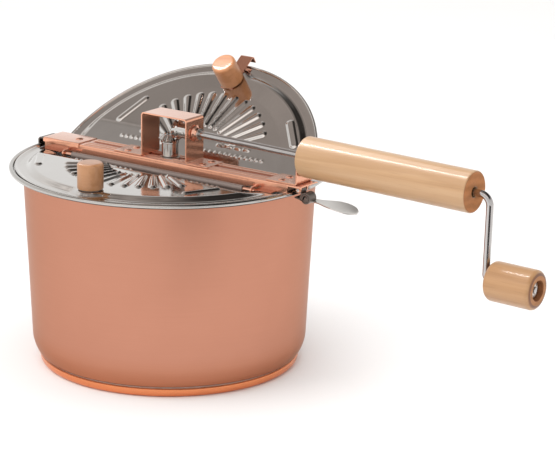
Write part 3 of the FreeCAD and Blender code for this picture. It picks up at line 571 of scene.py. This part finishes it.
def lid_relief(x, y, boss):
    sd = np.hypot(x, y) - 113.0
    sb = np.hypot(x - boss[0], y - boss[1]) - boss[2]
    k = 7.0
    h = np.clip(0.5 + 0.5 * (sb - sd) / k, 0, 1)
    d = -(sb * (1 - h) + sd * h - k * h * (1 - h))
    g = h * h * (3 - 2 * h)
    t = np.clip((d + 0.7 + 1.3 * g) / (4.4 + 3.6 * g), 0, 1)
    # a straight ramp from the hinge up to the pressed-up middle
    u = (y - 21.5) / 20.5
    up = np.where(u < 0.85, u, 1 - (1.15 - np.clip(u, 0.85, 1.15)) ** 2 / 0.6)
    z = 3.2 * (t * t * t * (t * (t * 6 - 15) + 10)) * np.clip(up, 0, 1)
    # plain pressed flutes in a fan, rows of beads and dashes by the hinge, one bar at each side
    for i in range(13):
        an = math.radians(33 + 9.5 * i)
        c, s_ = math.cos(an), math.sin(an)
        z += 1.5 * dome(capsule(x, y, (2 + 35 * c, 19 + 35 * s_), (2 + 67 * c, 19 + 67 * s_), 1.7, 3.7), 0.30)
    for i in range(-14, 15):
        if abs(i) > 2:
            z += 0.95 * dome(np.hypot(x - 5.0 * i, y - 31.0) / 1.8, 0.1)
    for i in range(-6, 7):
        if abs(i) > 2:
            z += 0.9 * dome(capsule(x, y, (8.6 * i - 2.0, 38.0), (8.6 * i + 2.0, 38.0), 1.5), 0.15)
    z += 1.25 * dome(capsule(x, y, (-80.5, 45.5), (-68.6, 69.8), 3.2), 0.40)
    z += 1.25 * dome(capsule(x, y, (90.5, 51.0), (76.0, 70.5), 4.0), 0.45)
    # shallow dish of the sheet
    z += 0.25 * np.cos(x / 61.0) * np.clip(d / 20.0, 0, 1)
    return z


def build_lid(name, mat4, boss, dip=0.0):
    nth, nv = 380, 132
    y0 = 22.4
    th0 = math.asin(y0 / LID_R) + 0.004
    th = np.linspace(th0, math.pi - th0, nth)
    ex, etop = LID_R * np.cos(th), LID_R * np.sin(th)
    e_rows = np.array([3.2, 2.7, 2.3, 2.0, 1.85, 1.6, 1.3, 1.0, 0.7, 0.42, 0.22, 0.08, 0.0])
    zone = np.minimum(3.4 / np.sin(th), 0.6 * (etop - y0))
    body = np.linspace(0, 1, nv)[None, :]
    yb = y0 + (etop - zone - y0)[:, None] * body
    ye = etop[:, None] - zone[:, None] * (e_rows / 3.4)[None, :]
    yy = np.concatenate([yb, ye], 1)
    xx = np.repeat(ex[:, None], yy.shape[1], 1)
    # dip: how far the sheet is set down where it comes off the hinge tube
    ww = np.clip((108.0 - np.abs(xx)) / 16.0, 0, 1)
    sink = dip * (ww * ww * (3 - 2 * ww)) * np.clip(1 - (yy - 21.5) / 20.5, 0, 1)
    z = 0.8 + lid_relief(xx, yy, boss) - sink
    e = np.clip(LID_R - np.hypot(xx, yy), 0, 10)
    # the front lid's flange sweeps up into the rolled lip
    z = z + (1.05 if dip else 0.0) * np.clip((4.7 - e) / 3.5, 0, 1) ** 2
    lip = 0.95 + np.sqrt(np.clip(1 - (e - 1) ** 2, 0, 1))
    z = np.where(e < 1.95, np.maximum(z, lip), z)
    zt = LID_Z + z
    zb = np.maximum(LID_Z + z - 0.8, LID_Z - sink)
    # the rolled lip is thick down to the flange's underside
    zb = np.where(e < 2.0, LID_Z - sink, zb)
    nr = yy.shape[1]
    top = np.stack([xx, yy, zt], -1).reshape(-1, 3)
    bot = np.stack([xx, yy, zb], -1).reshape(-1, 3)
    V = np.vstack([top, bot])
    off = nth * nr
    F = []
    for i in range(nth - 1):
        for j in range(nr - 1):
            a, b, c, d = i * nr + j, (i + 1) * nr + j, (i + 1) * nr + j + 1, i * nr + j + 1
            F.append((a, d, c, b))
            F.append((off + a, off + b, off + c, off + d))
        for j in (0, nr - 1):
            a, b = i * nr + j, (i + 1) * nr + j
            F.append((a, b, off + b, off + a) if j == 0 else (b, a, off + a, off + b))
    for i in (0, nth - 1):
        for j in range(nr - 1):
            a, b = i * nr + j, i * nr + j + 1
            F.append((b, a, off + a, off + b) if i == 0 else (a, b, off + b, off + a))
    parts = [(V, F, 0)]
    # sheet running into the rolled hinge tube
    if dip:
        ol = rounded([(22.6, 155.98), (20.8, 155.6, 1.2), (18.9, 155.15), (18.7, 154.55), (20.8, 154.6), (22.6, 155.15)], 4)
    else:
        ol = rounded([(23.0, 158.3), (21.0, 158.3, 1.2), (19.6, 158.75), (19.2, 157.9), (21.0, 157.5), (23.0, 157.5)], 4)
    vs, fs = extrude(ol, -85.0, 85.0, lambda u, v_, w: (w, u, v_))
    parts.append((vs, fs, 1))
    # the tube: sheet rolled round the rod, its free edge showing as a step
    ring = []
    turns = np.linspace(math.radians(60), math.radians(60 - 350), 44)
    ro = 2.62 - 0.2 * np.linspace(0, 1, 44)
    ring = [(HINGE_Y + r_ * math.cos(t_), HINGE_Z + r_ * math.sin(t_)) for t_, r_ in zip(turns, ro)]
    ring += [(HINGE_Y + 1.6 * math.cos(t_), HINGE_Z + 1.6 * math.sin(t_)) for t_ in turns[::-1]]
    vs, fs = extrude(ring, -85.0, 85.0, lambda u, v_, w: (w, u, v_))
    parts.append((vs, fs, 1))
    V, F, I = join(parts)
    o = make(name, V, F, [LID_STEEL, TUBE_STEEL], I, 38.0, mat4)
    return fix_normals(o)


FRONT = Matrix.Rotation(math.pi, 4, "Z")
REAR = Matrix.Translation((0, HINGE_Y, HINGE_Z)) @ Matrix.Rotation(math.radians(REAR_OPEN), 4, "X") @ Matrix.Translation((0, -HINGE_Y, -HINGE_Z))
piece(build_lid("front_lid_sheet", FRONT, FRONT_KNOB, 2.5), "front_lid", "polished_steel", "front_lid_panel")
piece(build_lid("rear_lid_sheet", REAR, REAR_KNOB), "rear_lid", "polished_steel", "rear_lid_panel")

# wooden lid knobs
LKZ = 162.3
LKH = 20.7
kp = [(0, LKZ + LKH)] + rounded([(4.0, LKZ + LKH), (10.0, LKZ + LKH - 0.1, 2.3), (10.0, LKZ, 0.9), (5.0, LKZ)], 7) + [(0, LKZ)]
v, f, s = lathe(kp, 72)
for nm, mm, wd, body, kn in (("front_lid_knob", FRONT, WOOD_FRONT, "front_lid", FRONT_KNOB), ("rear_lid_knob", REAR, WOOD_REAR, "rear_lid", REAR_KNOB)):
    o = fix_normals(make(nm, v, f, wd, None, 40.0, mm @ Matrix.Translation((kn[0], kn[1], 0))))
    piece(o, body, "maple", "front_knob" if body == "front_lid" else "rear_knob")

# copper strip over the rim of the rear lid
ol = strip_outline([(94.0, 161.9), (130.2, 161.9, 1.5), (129.5, 155.4)], 0.8, 6)
v, f = extrude(ol, -6.4, 5.6, lambda u, v_, w: (w, u, v_))
piece(fix_normals(make("rim_catch", v, f, COPPER_CATCH, None, 35.0, REAR, 0.18)), "rear_lid", "copper_sheet", "rear_lid_catch")

# ------------------------------------------------------------------ bridge
BR_TOP, BR_HALF = 164.7, 11.35


def bridge_section(ridge, skirt):
    """Closed (y, z) outline of the channel; ridge 0..1, skirt the height of its lower edge."""
    ys = np.linspace(-9.9, 9.9, 67)
    zt = BR_TOP - 0.02 + ridge * 1.0 * sum(np.clip(1 - ((ys - c) / 1.4) ** 2, 0, 1) ** 1.3 for c in (-8.2, -4.1, 4.1, 8.2))
    top = list(zip(ys, zt))
    lo = [(-BR_HALF, skirt), (-BR_HALF, 161.2)] + rounded([(-BR_HALF, 162.0), (-BR_HALF, BR_TOP, 1.35), (-9.9, BR_TOP)], 6)[1:-1]
    hi = [(-y, z) for y, z in lo[::-1]]
    out = lo + top + hi
    t = 1.0
    sk = min(skirt, BR_TOP - t - 0.001)
    inn = [(BR_HALF - t, sk), (BR_HALF - t, BR_TOP - t - 0.7), (BR_HALF - t - 0.7, BR_TOP - t), (0, BR_TOP - t), (-BR_HALF + t + 0.7, BR_TOP - t), (-BR_HALF + t, BR_TOP - t - 0.7), (-BR_HALF + t, sk)]
    return out + inn


def loft(sections, xs):
    n = len(sections[0])
    V = [(x, y, z) for x, s_ in zip(xs, sections) for y, z in s_]
    F = []
    for i in range(len(xs) - 1):
        for k in range(n):
            k2 = (k + 1) % n
            F.append((i * n + k, i * n + k2, (i + 1) * n + k2, (i + 1) * n + k))
    F += [tuple(range(n))[::-1], tuple(range((len(xs) - 1) * n, len(xs) * n))]
    return V, F


xs = [-120.0, -100.0, -84.5, -83.5, -82.0, -80.5, -79.0, -50.0, -20.0, 20.0, 60.0, 98.0, 99.5, 101.0, 102.5, 104.0, 111.99, 112.0, 112.02, 133.6, 134.0]
sec = []
for x in xs:
    rg = max(0.0, min(1.0, (x + 83.5) / 4.5)) * max(0.0, min(1.0, (104.0 - x) / 6.0))
    rg = rg * rg * (3 - 2 * rg)
    sk = 157.4 if x <= 112.0 else 161.25
    s_ = bridge_section(rg, sk)
    if x > 112.0:
        s_ = [(y, max(z, 163.2 + 0.5 * (abs(y) < 10.9))) if z < 163.7 else (y, z) for y, z in s_]
    sec.append(s_)
V, F = loft(sec, xs)
# painted shade: the channels between the ridges get a darker copy of the copper than the crests
mi = []
for q in F:
    qx, qy, qz = [V[k][0] for k in q], [abs(V[k][1]) for k in q], [V[k][2] for k in q]
    mi.append(2 if max(qy) < 9.6 and min(qz) > BR_TOP - 0.1 and max(qz) < BR_TOP + 0.3 and min(qx) > -79.5 and max(qx) < 98.5 else 0)
parts = [(V, F, mi)]
# hinge ears
for sx in (-1, 1):
    for sy in (-1, 1):
        ol = [(sy * 10.9, 154.8), (sy * 17.0, 154.4)]
        ol += [(sy * (HINGE_Y + 2.9 * math.cos(math.radians(a))), HINGE_Z + 2.9 * math.sin(math.radians(a))) for a in range(-80, 101, 15)]
        ol += [(sy * 15.0, 160.0), (sy * 13.0, 160.6), (sy * 10.9, 160.8)]
        xa, xb = sorted((sx * 93.0, sx * 94.2))
        parts.append((*extrude(ol, xa, xb, lambda u, v_, w: (w, u, v_)), 0))
# level tabs beside the ears, in a darker copper that paints shade on them
for xa, xb in ((-118.0, -96.6), (96.6, 111.9)):
    for sy in (-1, 1):
        ya, yb = sorted((sy * 10.9, sy * 20.3))
        parts.append((*extrude([(ya, 157.4), (yb, 157.4), (yb, 158.2), (ya, 158.2)], xa, xb, lambda u, v_, w: (w, u, v_)), 1))
# the skirt goes on a little under the handle's foot
for sy in (-1, 1):
    ya, yb = sorted((sy * 10.35, sy * (BR_HALF - 0.01)))
    parts.append((*extrude([(ya, 157.4), (yb, 157.4), (yb, 163.9), (ya, 163.9)], 111.9, 121.3, lambda u, v_, w: (w, u, v_)), 0))
# lugs for the latch pin
for y0_ in (-9.4, -0.9):
    ol = [(128.2, 163.8), (128.2, 161.4)] + [(130.5 + 2.3 * math.cos(math.radians(a)), 161.4 + 2.3 * math.sin(math.radians(a))) for a in range(190, 351, 16)] + [(132.8, 161.4), (132.8, 163.8)]
    parts.append((*extrude(ol, y0_, y0_ + 1.0, XZ), 0))
V, F, I = join(parts)
bridge = fix_normals(make("bridge_channel", V, F, [COPPER_BAR, COPPER_TAB_SHADED, COPPER_CHANNEL_SHADE], I, 35.0, None, 0.16))
piece(bridge, ROOT, "copper_sheet", "bridge_bar")

# folded plate over the left end
Y1 = 12.2
xs = [-121.2, -120.9, -120.0, -116.0, -100.0, -84.3, -84.0]
sec = []
for x in xs:
    k = 0.0 if x > -120.5 else (0.35 if x > -121.0 else 0.9)
    kr = 0.25 if x > -84.2 else 0.0
    y1, zt, zb = Y1 - 0.1 * k - kr * 0.5, 165.5 - 0.75 * k * (k > 0.5) - 0.15 * (k == 0.35) - kr * 0.4, 161.7
    o_ = rounded([(-y1, zb), (-y1, zt, 1.1), (y1, zt, 1.1), (y1, zb)], 6)
    o_ += [(11.42, zb), (11.42, 164.2), (10.9, 164.72), (-10.9, 164.72), (-11.42, 164.2), (-11.42, zb)]
    sec.append(o_)
V, F = loft(sec, xs)
parts = [(V, F, 0)]
V, F, I = join(parts)
piece(fix_normals(make("end_plate", V, F, COPPER_BAR, None, 35.0, None, 0.12)), ROOT, "copper_sheet", "bridge_end_plate")

# dark hook at the left end
zs = 163.1
ol = strip_outline([(-84, zs), (-115.0, zs, 2.0), (-118.6, 157.7, 1.5), (-122.0, 157.7)], 1.2)
ol2 = strip_outline([(-113.5, zs), (-129.2, zs, 2.2), (-129.2, 154.0, 1.8), (-125.6, 154.5)], 1.2)
parts = [(*extrude(ol, -8.5, 8.5, XZ), 0), (*extrude(ol2, -8.45, 8.45, XZ), 0)]
V, F, I = join(parts)
piece(fix_normals(make("bead_hook", V, F, DARK_STEEL, None, 35.0, None, 0.2)), ROOT, "dark_steel", "rim_hook")


def dome_rivet(x, y, zt, hr, hh):
    pr = [(0, zt + hh)] + [(hr * math.sin(math.radians(a)), zt + hh * math.cos(math.radians(a)) ** 0.8) for a in range(12, 85, 9)] + [(hr, zt + 0.12), (hr, zt - 0.02), (1.6, zt - 0.02), (1.6, zt - 3.0), (2.6, zt - 3.0), (2.4, zt - 3.7), (0, zt - 3.7)]
    v_, f_, s_ = lathe(pr, 40)
    return [(a + x, b + y, c) for a, b, c in v_], f_


for nm, node, pts, zt, hr, hh in (("end_rivet", "hook_rivet", [(-93, 0)], 165.5, 3.2, 1.25),
                                  ("bracket_foot_rivets", "bracket_rivets", [(-38, -5.6), (-38, 5.6), (37, -5.6), (37, 5.6)], 165.9, 2.9, 1.1),
                                  ("handle_foot_rivets", "handle_bracket_rivets", [(112, -5), (112, 5)], 165.9, 2.9, 1.1)):
    V, F, I = join([(*dome_rivet(x, y, zt, hr, hh), 0) for x, y in pts])
    piece(fix_normals(make(nm, V, F, COPPER_ROD, None, 40.0)), ROOT, "copper_sheet", node)

# ------------------------------------------------------------------ gear bracket
gz = 165.3
ol = strip_outline([(-48.0, gz), (-19.8, gz, 1.7), (-19.8, 200.2, 2.2), (24.0, 200.2, 2.2), (24.0, gz, 1.7), (45.0, gz)], 1.2, 8)
v, f = extrude(ol, -11.3, 11.3, XZ)
piece(fix_normals(make("gear_arch", v, f, COPPER_BAR, None, 35.0, None, 0.28, 3)), ROOT, "copper_sheet", "gear_bracket")

b_in = ROD_R + 0.08
pr = [(b_in, 21.6)] + rounded([(3.9, 21.6), (4.0, 24.85, 0.2), (6.3, 25.0, 0.3), (6.5, 25.9, 0.45), (4.6, 27.2, 0.8), (4.1, 28.4, 0.3), (b_in + 0.3, 28.4)], 5) + [(b_in, 28.1)]
v, f, s = lathe(pr, 64, True)
piece(fix_normals(make("flared_bush", v, f, COPPER_ROD, None, 40.0, TO_SHAFT @ LAY)), ROOT, "copper_sheet", "shaft_bushing")

# ------------------------------------------------------------------ handle bracket and handle
ol = strip_outline([(101.0, 165.3), (129.13, 165.3, 1.6), (129.44, 180.0)], 1.2, 8)
parts = [(*extrude(ol, -11.0, 11.0, XZ), 0)]
ol = [(-11.0, -5.95), (11.0, -5.95)] + [(12.2 * math.cos(math.radians(q)), 12.2 * math.sin(math.radians(q))) for q in range(26, 155, 8)]
vs, fs = extrude(ol, 129.0, 130.2, lambda u, v_, w: tuple(TO_SHAFT @ Vector((w, u, v_))))
parts.append((vs, fs, 0))
V, F, I = join(parts)
piece(fix_normals(make("handle_tab", V, F, COPPER_BAR, None, 35.0, None, 0.2, 2)), ROOT, "copper_sheet", "handle_bracket")

HX0, HX1, HR = 130.22, 280.0, 15.875
pr = [(4.0, HX0)] + rounded([(5.0, HX0), (HR, HX0, 1.8), (HR, HX1, 1.2), (4.5, HX1)], 9) + [(4.1, HX1 - 0.3), (4.0, HX1 - 14.0)]
# the grip: a dowel with rounded ends, bored through for the rod; its long side is one ring of faces
v, f, s = lathe(pr, 96, True)
mi = [1 if max(abs(v[k][2] - HX1) for k in q) < 0.02 else 0 for q in f]
handle = fix_normals(make("wood_handle", v, f, [WOOD_HANDLE, END_HANDLE], mi, 40.0, TO_SHAFT @ LAY))
piece(handle, ROOT, "maple", "handle_grip")

# ------------------------------------------------------------------ hinge rods
for nm, node, sy in (("front_pin", "front_hinge_rod", -1), ("rear_pin", "rear_hinge_rod", 1)):
    v, f = tube([(-96.0, sy * HINGE_Y, HINGE_Z), (-40.0, sy * HINGE_Y, HINGE_Z), (40.0, sy * HINGE_Y, HINGE_Z), (96.0, sy * HINGE_Y, HINGE_Z)], 1.5, 24, 0.5)
    piece(fix_normals(make(nm, v, f, COPPER_ROD, None, 40.0)), ROOT, "copper_sheet", node)

# ------------------------------------------------------------------ crank
CX, CA, R0, R1 = 293.4, 63.3, 8.0, 4.0
path = [(4.6, 0, 0), (60, 0, 0), (150, 0, 0), (240, 0, 0)]
path += arc_path((CX - R0, -R0), R0, 90, 0, 14)
path += [(CX, 0, -20), (CX, 0, -40)]
path += arc_path((CX + R1, -CA + R1), R1, 180, 270, 12)
path += [(310, 0, -CA), (335.8, 0, -CA)]
v, f = tube(path, ROD_R, 32, 0.5)
piece(fix_normals(make("bent_crank", v, f, CHROME, None, 40.0, TO_SHAFT)), "crank", "bright_rod", "crank_rod")

KX0, KX1, KR, KCB, KCBX = 297.9, 337.4, 15.0, 7.5, 332.2
pr = [(2.83, KX0 + 0.3)] + rounded([(3.2, KX0), (KR, KX0, 4.4), (KR, KX1, 3.8), (KCB, KX1, 0.6), (KCB, KCBX, 0.5), (2.83, KCBX)], 9)
v, f, s = lathe(pr, 80, True)
LOW = TO_SHAFT @ Matrix.Translation((0, 0, -CA)) @ LAY
# the counterbore's faces get the painted-shade end grain (slot 2)
mi = [2 if max(math.hypot(v[k][0], v[k][1]) for k in q) < KCB + 0.5 and min(v[k][2] for k in q) > KCBX - 0.1 else (1 if max(abs(v[k][2] - KX1) for k in q) < 0.02 else 0) for q in f]
piece(fix_normals(make("wood_crank_knob", v, f, [WOOD_CRANK, END_CRANK, END_HOLE_SHADE], mi, 40.0, LOW)), "crank_grip", "maple", "crank_knob")
pr = [(2.79, KCBX + 0.5)] + rounded([(6.4, KCBX + 0.5), (6.8, KCBX + 0.55, 0.2), (6.8, KCBX + 1.0, 0.3), (5.2, KCBX + 1.9, 0.8), (3.2, KCBX + 2.6, 0.3), (2.79, KCBX + 2.5)], 5)
v, f, s = lathe(pr, 48, True)
piece(fix_normals(make("push_nut", v, f, PALE_STEEL, None, 40.0, LOW)), "crank", "satin_steel", "crank_push_nut")

# ------------------------------------------------------------------ latch
LPX, LPZ = 130.5, 161.4
parts = []
eye = [(LPX + 1.95 * math.cos(math.radians(a)), LPZ + 1.95 * math.sin(math.radians(a))) for a in range(0, 360, 15)]
parts.append((*extrude(eye, -7.9, -1.4, XZ), 0))
parts.append((*extrude(strip_outline([(LPX + 1.45, LPZ), (LPX + 1.45, 153.6)], 1.0), -7.9, -1.4, XZ), 0))
jaw = [(126.0, 154.7), (129.6, 154.1, 3.0), (132.4, 153.6, 2.5), (134.6, 152.0)]
parts.append((*extrude(strip_outline(jaw, 1.0, 5), -8.0, 8.0, XZ), 0))
# the sheet rolled into a barrel, its turns showing as lines on the ends and along the top
turn = [(136.0 + (4.7 - 2.9 * k / 60) * math.cos(math.radians(205 - 12 * k)), 154.9 + (4.7 - 2.9 * k / 60) * math.sin(math.radians(205 - 12 * k))) for k in range(61)]
parts.append((*extrude(strip_outline(turn, 1.15, 1), -8.0, 0.6, XZ), 0))
parts.append((*extrude([(136.0 + 1.5 * math.cos(math.radians(q)), 154.9 + 1.5 * math.sin(math.radians(q))) for q in range(0, 360, 20)], -7.8, 0.4, XZ), 0))
# thumb tongue: a dished spoon of sheet
us = np.linspace(0, 1, 46)
tx = 132.6 + 45.3 * us
tz = np.interp(tx, [132.6, 143.5, 155.0, 163.0, 170.0, 178.0], [152.35, 152.65, 152.35, 151.45, 150.15, 148.2])
tz = np.convolve(np.pad(tz, 3, mode="edge"), np.ones(7) / 7, "valid")
hw = np.interp(tx, [132.6, 137.0, 141.5, 146.0, 152.0, 158.0, 164.0, 170.0, 174.0, 176.4, 177.5, 177.9], [5.0, 4.7, 4.4, 5.3, 8.3, 10.3, 11.0, 10.4, 8.0, 5.1, 2.7, 0.4])
hw[2:-3] = np.convolve(np.pad(hw, 2, mode="edge"), np.ones(5) / 5, "valid")[2:-3]
ws = np.linspace(-1, 1, 17)
top = np.array([[(tx[i], w * hw[i], tz[i] + 0.45 + 0.55 * (w * w - 0.3) * min(1, max(0, (us[i] - 0.25) * 3))) for w in ws] for i in range(46)])
bot = top - np.array([0, 0, 0.9])
nr = 17
V = np.vstack([top.reshape(-1, 3), bot.reshape(-1, 3)])
off = 46 * nr
F = []
for i in range(45):
    for j in range(nr - 1):
        a, b, c, d = i * nr + j, (i + 1) * nr + j, (i + 1) * nr + j + 1, i * nr + j + 1
        F += [(a, b, c, d), (off + a, off + d, off + c, off + b)]
    for j in (0, nr - 1):
        a, b = i * nr + j, (i + 1) * nr + j
        F.append((a, off + a, off + b, b))
for i in (0, 45):
    for j in range(nr - 1):
        a, b = i * nr + j, i * nr + j + 1
        F.append((a, b, off + b, off + a))
parts.append((V, F, 1))
V, F, I = join(parts)
lev = fix_normals(make("thumb_latch", V, F, [DARK_STEEL, SATIN_STEEL], I, 40.0, None, 0.14))
piece(lev, "latch", "satin_steel", "latch_lever")

# ------------------------------------------------------------------ carried-over CAD nodes
KEEP = {
    "base_core": ALU, "rim_seat": DARK_STEEL, "stirrer_bushing": SATIN_STEEL, "tab_bushing": COPPER_ROD, "handle_screws": SATIN_STEEL,
    "latch_pin": SATIN_STEEL, "latch_spring": SATIN_STEEL, "front_knob_screw": SATIN_STEEL, "rear_knob_screw": SATIN_STEEL,
    "front_knob_washer": DARK_STEEL, "drive_gear": GEAR, "driven_gear": GEAR, "drive_gear_pin": SATIN_STEEL, "crank_thrust_washer": SATIN_STEEL,
    "stirrer_shaft": CHROME, "stirrer_clip": SATIN_STEEL, "agitator_hub": SATIN_STEEL, "agitator_wire": CHROME,
}
for node, m in KEEP.items():
    o = N[node]
    for sl in o.material_slots:
        sl.material = m
    if not o.material_slots:
        o.data.materials.append(m)

# ------------------------------------------------------------------ stage
fl = Mat("floor_paper", Roughness=0.9)
fl.p.inputs["Specular IOR Level"].default_value = 0.1
fl.to("Base Color", fl.ramp(fl.noise(fl.coord(), 3.0, 3.0), [(0.3, (0.86, 0.86, 0.86)), (0.7, (0.88, 0.88, 0.88))]))
me = bpy.data.meshes.new("floor")
S = 9.0
me.from_pydata([(-S, -S, 0), (S, -S, 0), (S, S, 0), (-S, S, 0)], [], [(0, 1, 2, 3)])
me.materials.append(fl.m)
floor = bpy.data.objects.new("floor", me)
SC.collection.objects.link(floor)

# camera at the photograph's angle
a, e, roll = math.radians(35.18), math.radians(15.68), math.radians(0.85)
back = Vector((math.sin(a) * math.cos(e), -math.cos(a) * math.cos(e), math.sin(e)))
right = Vector((math.cos(a), math.sin(a), 0))
up = back.cross(right)
C = Vector((0, 0, 0.080)) + 0.0858 * right + 0.0293 * up + 2.0 * back
r2 = math.cos(roll) * right + math.sin(roll) * up
u2 = -math.sin(roll) * right + math.cos(roll) * up
cam = bpy.data.objects.new("camera", bpy.data.cameras.new("camera"))
SC.collection.objects.link(cam)
cam.data.sensor_fit = "HORIZONTAL"
cam.data.sensor_width = 36.0
cam.data.lens = 2498.8 / FRAME_W * 36.0
cam.data.clip_start, cam.data.clip_end = 0.05, 60.0
cam.matrix_world = Matrix(((r2.x, u2.x, back.x, C.x), (r2.y, u2.y, back.y, C.y), (r2.z, u2.z, back.z, C.z), (0, 0, 0, 1)))
SC.camera = cam

# soft surroundings: bright round the horizon, dimmer overhead
w = bpy.data.worlds.new("studio")
SC.world = w
w.use_nodes = True
nt = w.node_tree
nt.nodes.clear()
wo = nt.nodes.new("ShaderNodeOutputWorld")
bg = nt.nodes.new("ShaderNodeBackground")
tc = nt.nodes.new("ShaderNodeTexCoord")
sx = nt.nodes.new("ShaderNodeSeparateXYZ")
mr = nt.nodes.new("ShaderNodeMapRange")
cr_ = nt.nodes.new("ShaderNodeValToRGB")
for i, x in zip((1, 2, 3, 4), (-1, 1, 0, 1)):
    mr.inputs[i].default_value = x
nt.links.new(tc.outputs["Generated"], sx.inputs[0])
nt.links.new(sx.outputs[2], mr.inputs[0])
nt.links.new(mr.outputs[0], cr_.inputs[0])
nt.links.new(cr_.outputs[0], bg.inputs[0])
nt.links.new(bg.outputs[0], wo.inputs[0])
stops = [(0.0, (0.9, 0.9, 0.9)), (0.5, (1.0, 1.0, 0.99)), (0.65, (0.90, 0.895, 0.885)), (0.76, (0.88, 0.855, 0.83)), (0.85, (0.72, 0.675, 0.645)), (0.905, (0.36, 0.315, 0.29)), (1.0, (0.30, 0.265, 0.245))]
el = cr_.color_ramp.elements
while len(el) < len(stops):
    el.new(0.5)
for q, (p, b) in zip(el, stops):
    q.position = p
    q.color = (*b, 1)
# uneven ceiling, darker on the right
wn = nt.nodes.new("ShaderNodeTexNoise")
wn.inputs["Scale"].default_value = 7.0
wn.inputs["Detail"].default_value = 2.0
nt.links.new(tc.outputs["Generated"], wn.inputs["Vector"])


def w_range(sock, vals):
    n_ = nt.nodes.new("ShaderNodeMapRange")
    n_.interpolation_type = "SMOOTHSTEP"
    for i_, x_ in zip((1, 2, 3, 4), vals):
        n_.inputs[i_].default_value = x_
    nt.links.new(sock, n_.inputs[0])
    return n_.outputs[0]


def w_math(op, a_, b_):
    n_ = nt.nodes.new("ShaderNodeMath")
    n_.operation = op
    for i_, x_ in enumerate((a_, b_)):
        if isinstance(x_, float):
            n_.inputs[i_].default_value = x_
        else:
            nt.links.new(x_, n_.inputs[i_])
    return n_.outputs[0]


high = w_range(sx.outputs[2], (0.42, 0.66, 0.0, 1.0))
lean = w_math("ADD", sx.outputs[0], w_math("MULTIPLY", sx.outputs[1], 0.9))
side = w_math("MULTIPLY", w_range(lean, (-0.25, 0.35, 1.0, 0.10)), w_range(wn.outputs["Fac"], (0.35, 0.65, 0.72, 1.28)))
side = w_math("MULTIPLY", side, w_range(sx.outputs[1], (-0.65, -0.35, 2.0, 1.0)))
# one dim patch high on the left
patch = nt.nodes.new("ShaderNodeVectorMath")
patch.operation = "DOT_PRODUCT"
nt.links.new(tc.outputs["Generated"], patch.inputs[0])
patch.inputs[1].default_value = (-0.56, -0.37, 0.742)
side = w_math("MULTIPLY", side, w_range(patch.outputs["Value"], (0.968, 0.992, 1.0, 0.62)))
gain = w_math("ADD", w_math("MULTIPLY", w_math("SUBTRACT", side, 1.0), high), 1.0)
nt.links.new(gain, bg.inputs[1])


def area(name, loc, target, sx_, sy_, power, glossy=False):
    l = bpy.data.lights.new(name, "AREA")
    l.shape, l.size, l.size_y, l.energy = "RECTANGLE", sx_, sy_, power
    o = bpy.data.objects.new(name, l)
    SC.collection.objects.link(o)
    o.location = loc
    o.rotation_euler = (Vector(target) - Vector(loc)).to_track_quat("-Z", "Y").to_euler()
    o.visible_glossy = glossy
    return o


area("key", (-0.9, -1.2, 1.9), (0.05, 0, 0.08), 1.4, 1.4, 16)
area("fill", (1.5, -1.5, 1.6), (0.1, 0, 0.08), 1.6, 1.6, 7)
area("top", (0.1, 0.4, 2.4), (0.1, 0, 0.0), 2.4, 2.4, 14)
sun = bpy.data.objects.new("sky_soft", bpy.data.lights.new("sky_soft", "SUN"))
sun.data.energy, sun.data.angle = 1.45, math.radians(100)
sun.rotation_euler = (math.radians(14), math.radians(-12), 0)
sun.visible_glossy = False
SC.collection.objects.link(sun)
# long soft box over the handle, for the wood's lacquer only
wood_set = bpy.data.collections.new("lacquered_wood")
for nm in ("wood_handle", "wood_crank_knob", "front_lid_knob", "rear_lid_knob"):
    wood_set.objects.link(bpy.data.objects[nm])
strip = area("strip", (-0.627, -0.065, 1.435), (0.205, 0, 0.187), 1.7, 0.11, 20.0, True)
strip.visible_diffuse = False
sz = (strip.location - Vector((0.205, 0, 0.187))).normalized()
sxx = (Vector((1, 0, 0)) - sz * sz.x).normalized()
syy = sz.cross(sxx)
strip.rotation_euler = Matrix((sxx, syy, sz)).transposed().to_euler()
strip.light_linking.receiver_collection = wood_set

# broad soft box for the top of the handle
handle_set = bpy.data.collections.new("handle_only")
handle_set.objects.link(bpy.data.objects["wood_handle"])
sheen = area("sheen", (-0.627, 0.216, 1.416), (0.205, 0, 0.187), 1.7, 1.2, 17.0, True)
sheen.rotation_euler = strip.rotation_euler
sheen.visible_diffuse = False
sheen.light_linking.receiver_collection = handle_set
# the paper is lit a little more on the shadow's side
floor_set = bpy.data.collections.new("floor_only")
floor_set.objects.link(floor)
lift = area("lift", (0.12, 0.07, 0.28), (0.12, 0.07, 0.0), 0.24, 0.24, 0.34)
lift.data.use_shadow = False
lift.visible_camera = False
lift.light_linking.receiver_collection = floor_set

# dark mat on the floor in front, beyond the white sweep's edge, seen only in reflections
me_ = bpy.data.meshes.new("card_front")
me_.from_pydata([(0.40, -0.40, 0.0006), (0.46, -1.10, 0.0006), (1.40, -0.60, 0.0006), (0.75, -0.12, 0.0006)], [], [(0, 1, 2, 3)])
m_ = Mat("card_front", Roughness=1.0)
m_.p.inputs["Specular IOR Level"].default_value = 0.0
m_.to("Base Color", m_.ramp(m_.noise(m_.coord(), 4.0), [(0.3, (0.05, 0.05, 0.05)), (0.7, (0.065, 0.06, 0.06))]))
me_.materials.append(m_.m)
cf = bpy.data.objects.new("card_front", me_)
SC.collection.objects.link(cf)
cf.visible_camera = cf.visible_diffuse = cf.visible_shadow = False

SC.view_settings.view_transform = "Standard"
SC.view_settings.look = "None"
SC.view_settings.exposure = 0.0
SC.view_settings.gamma = 1.0
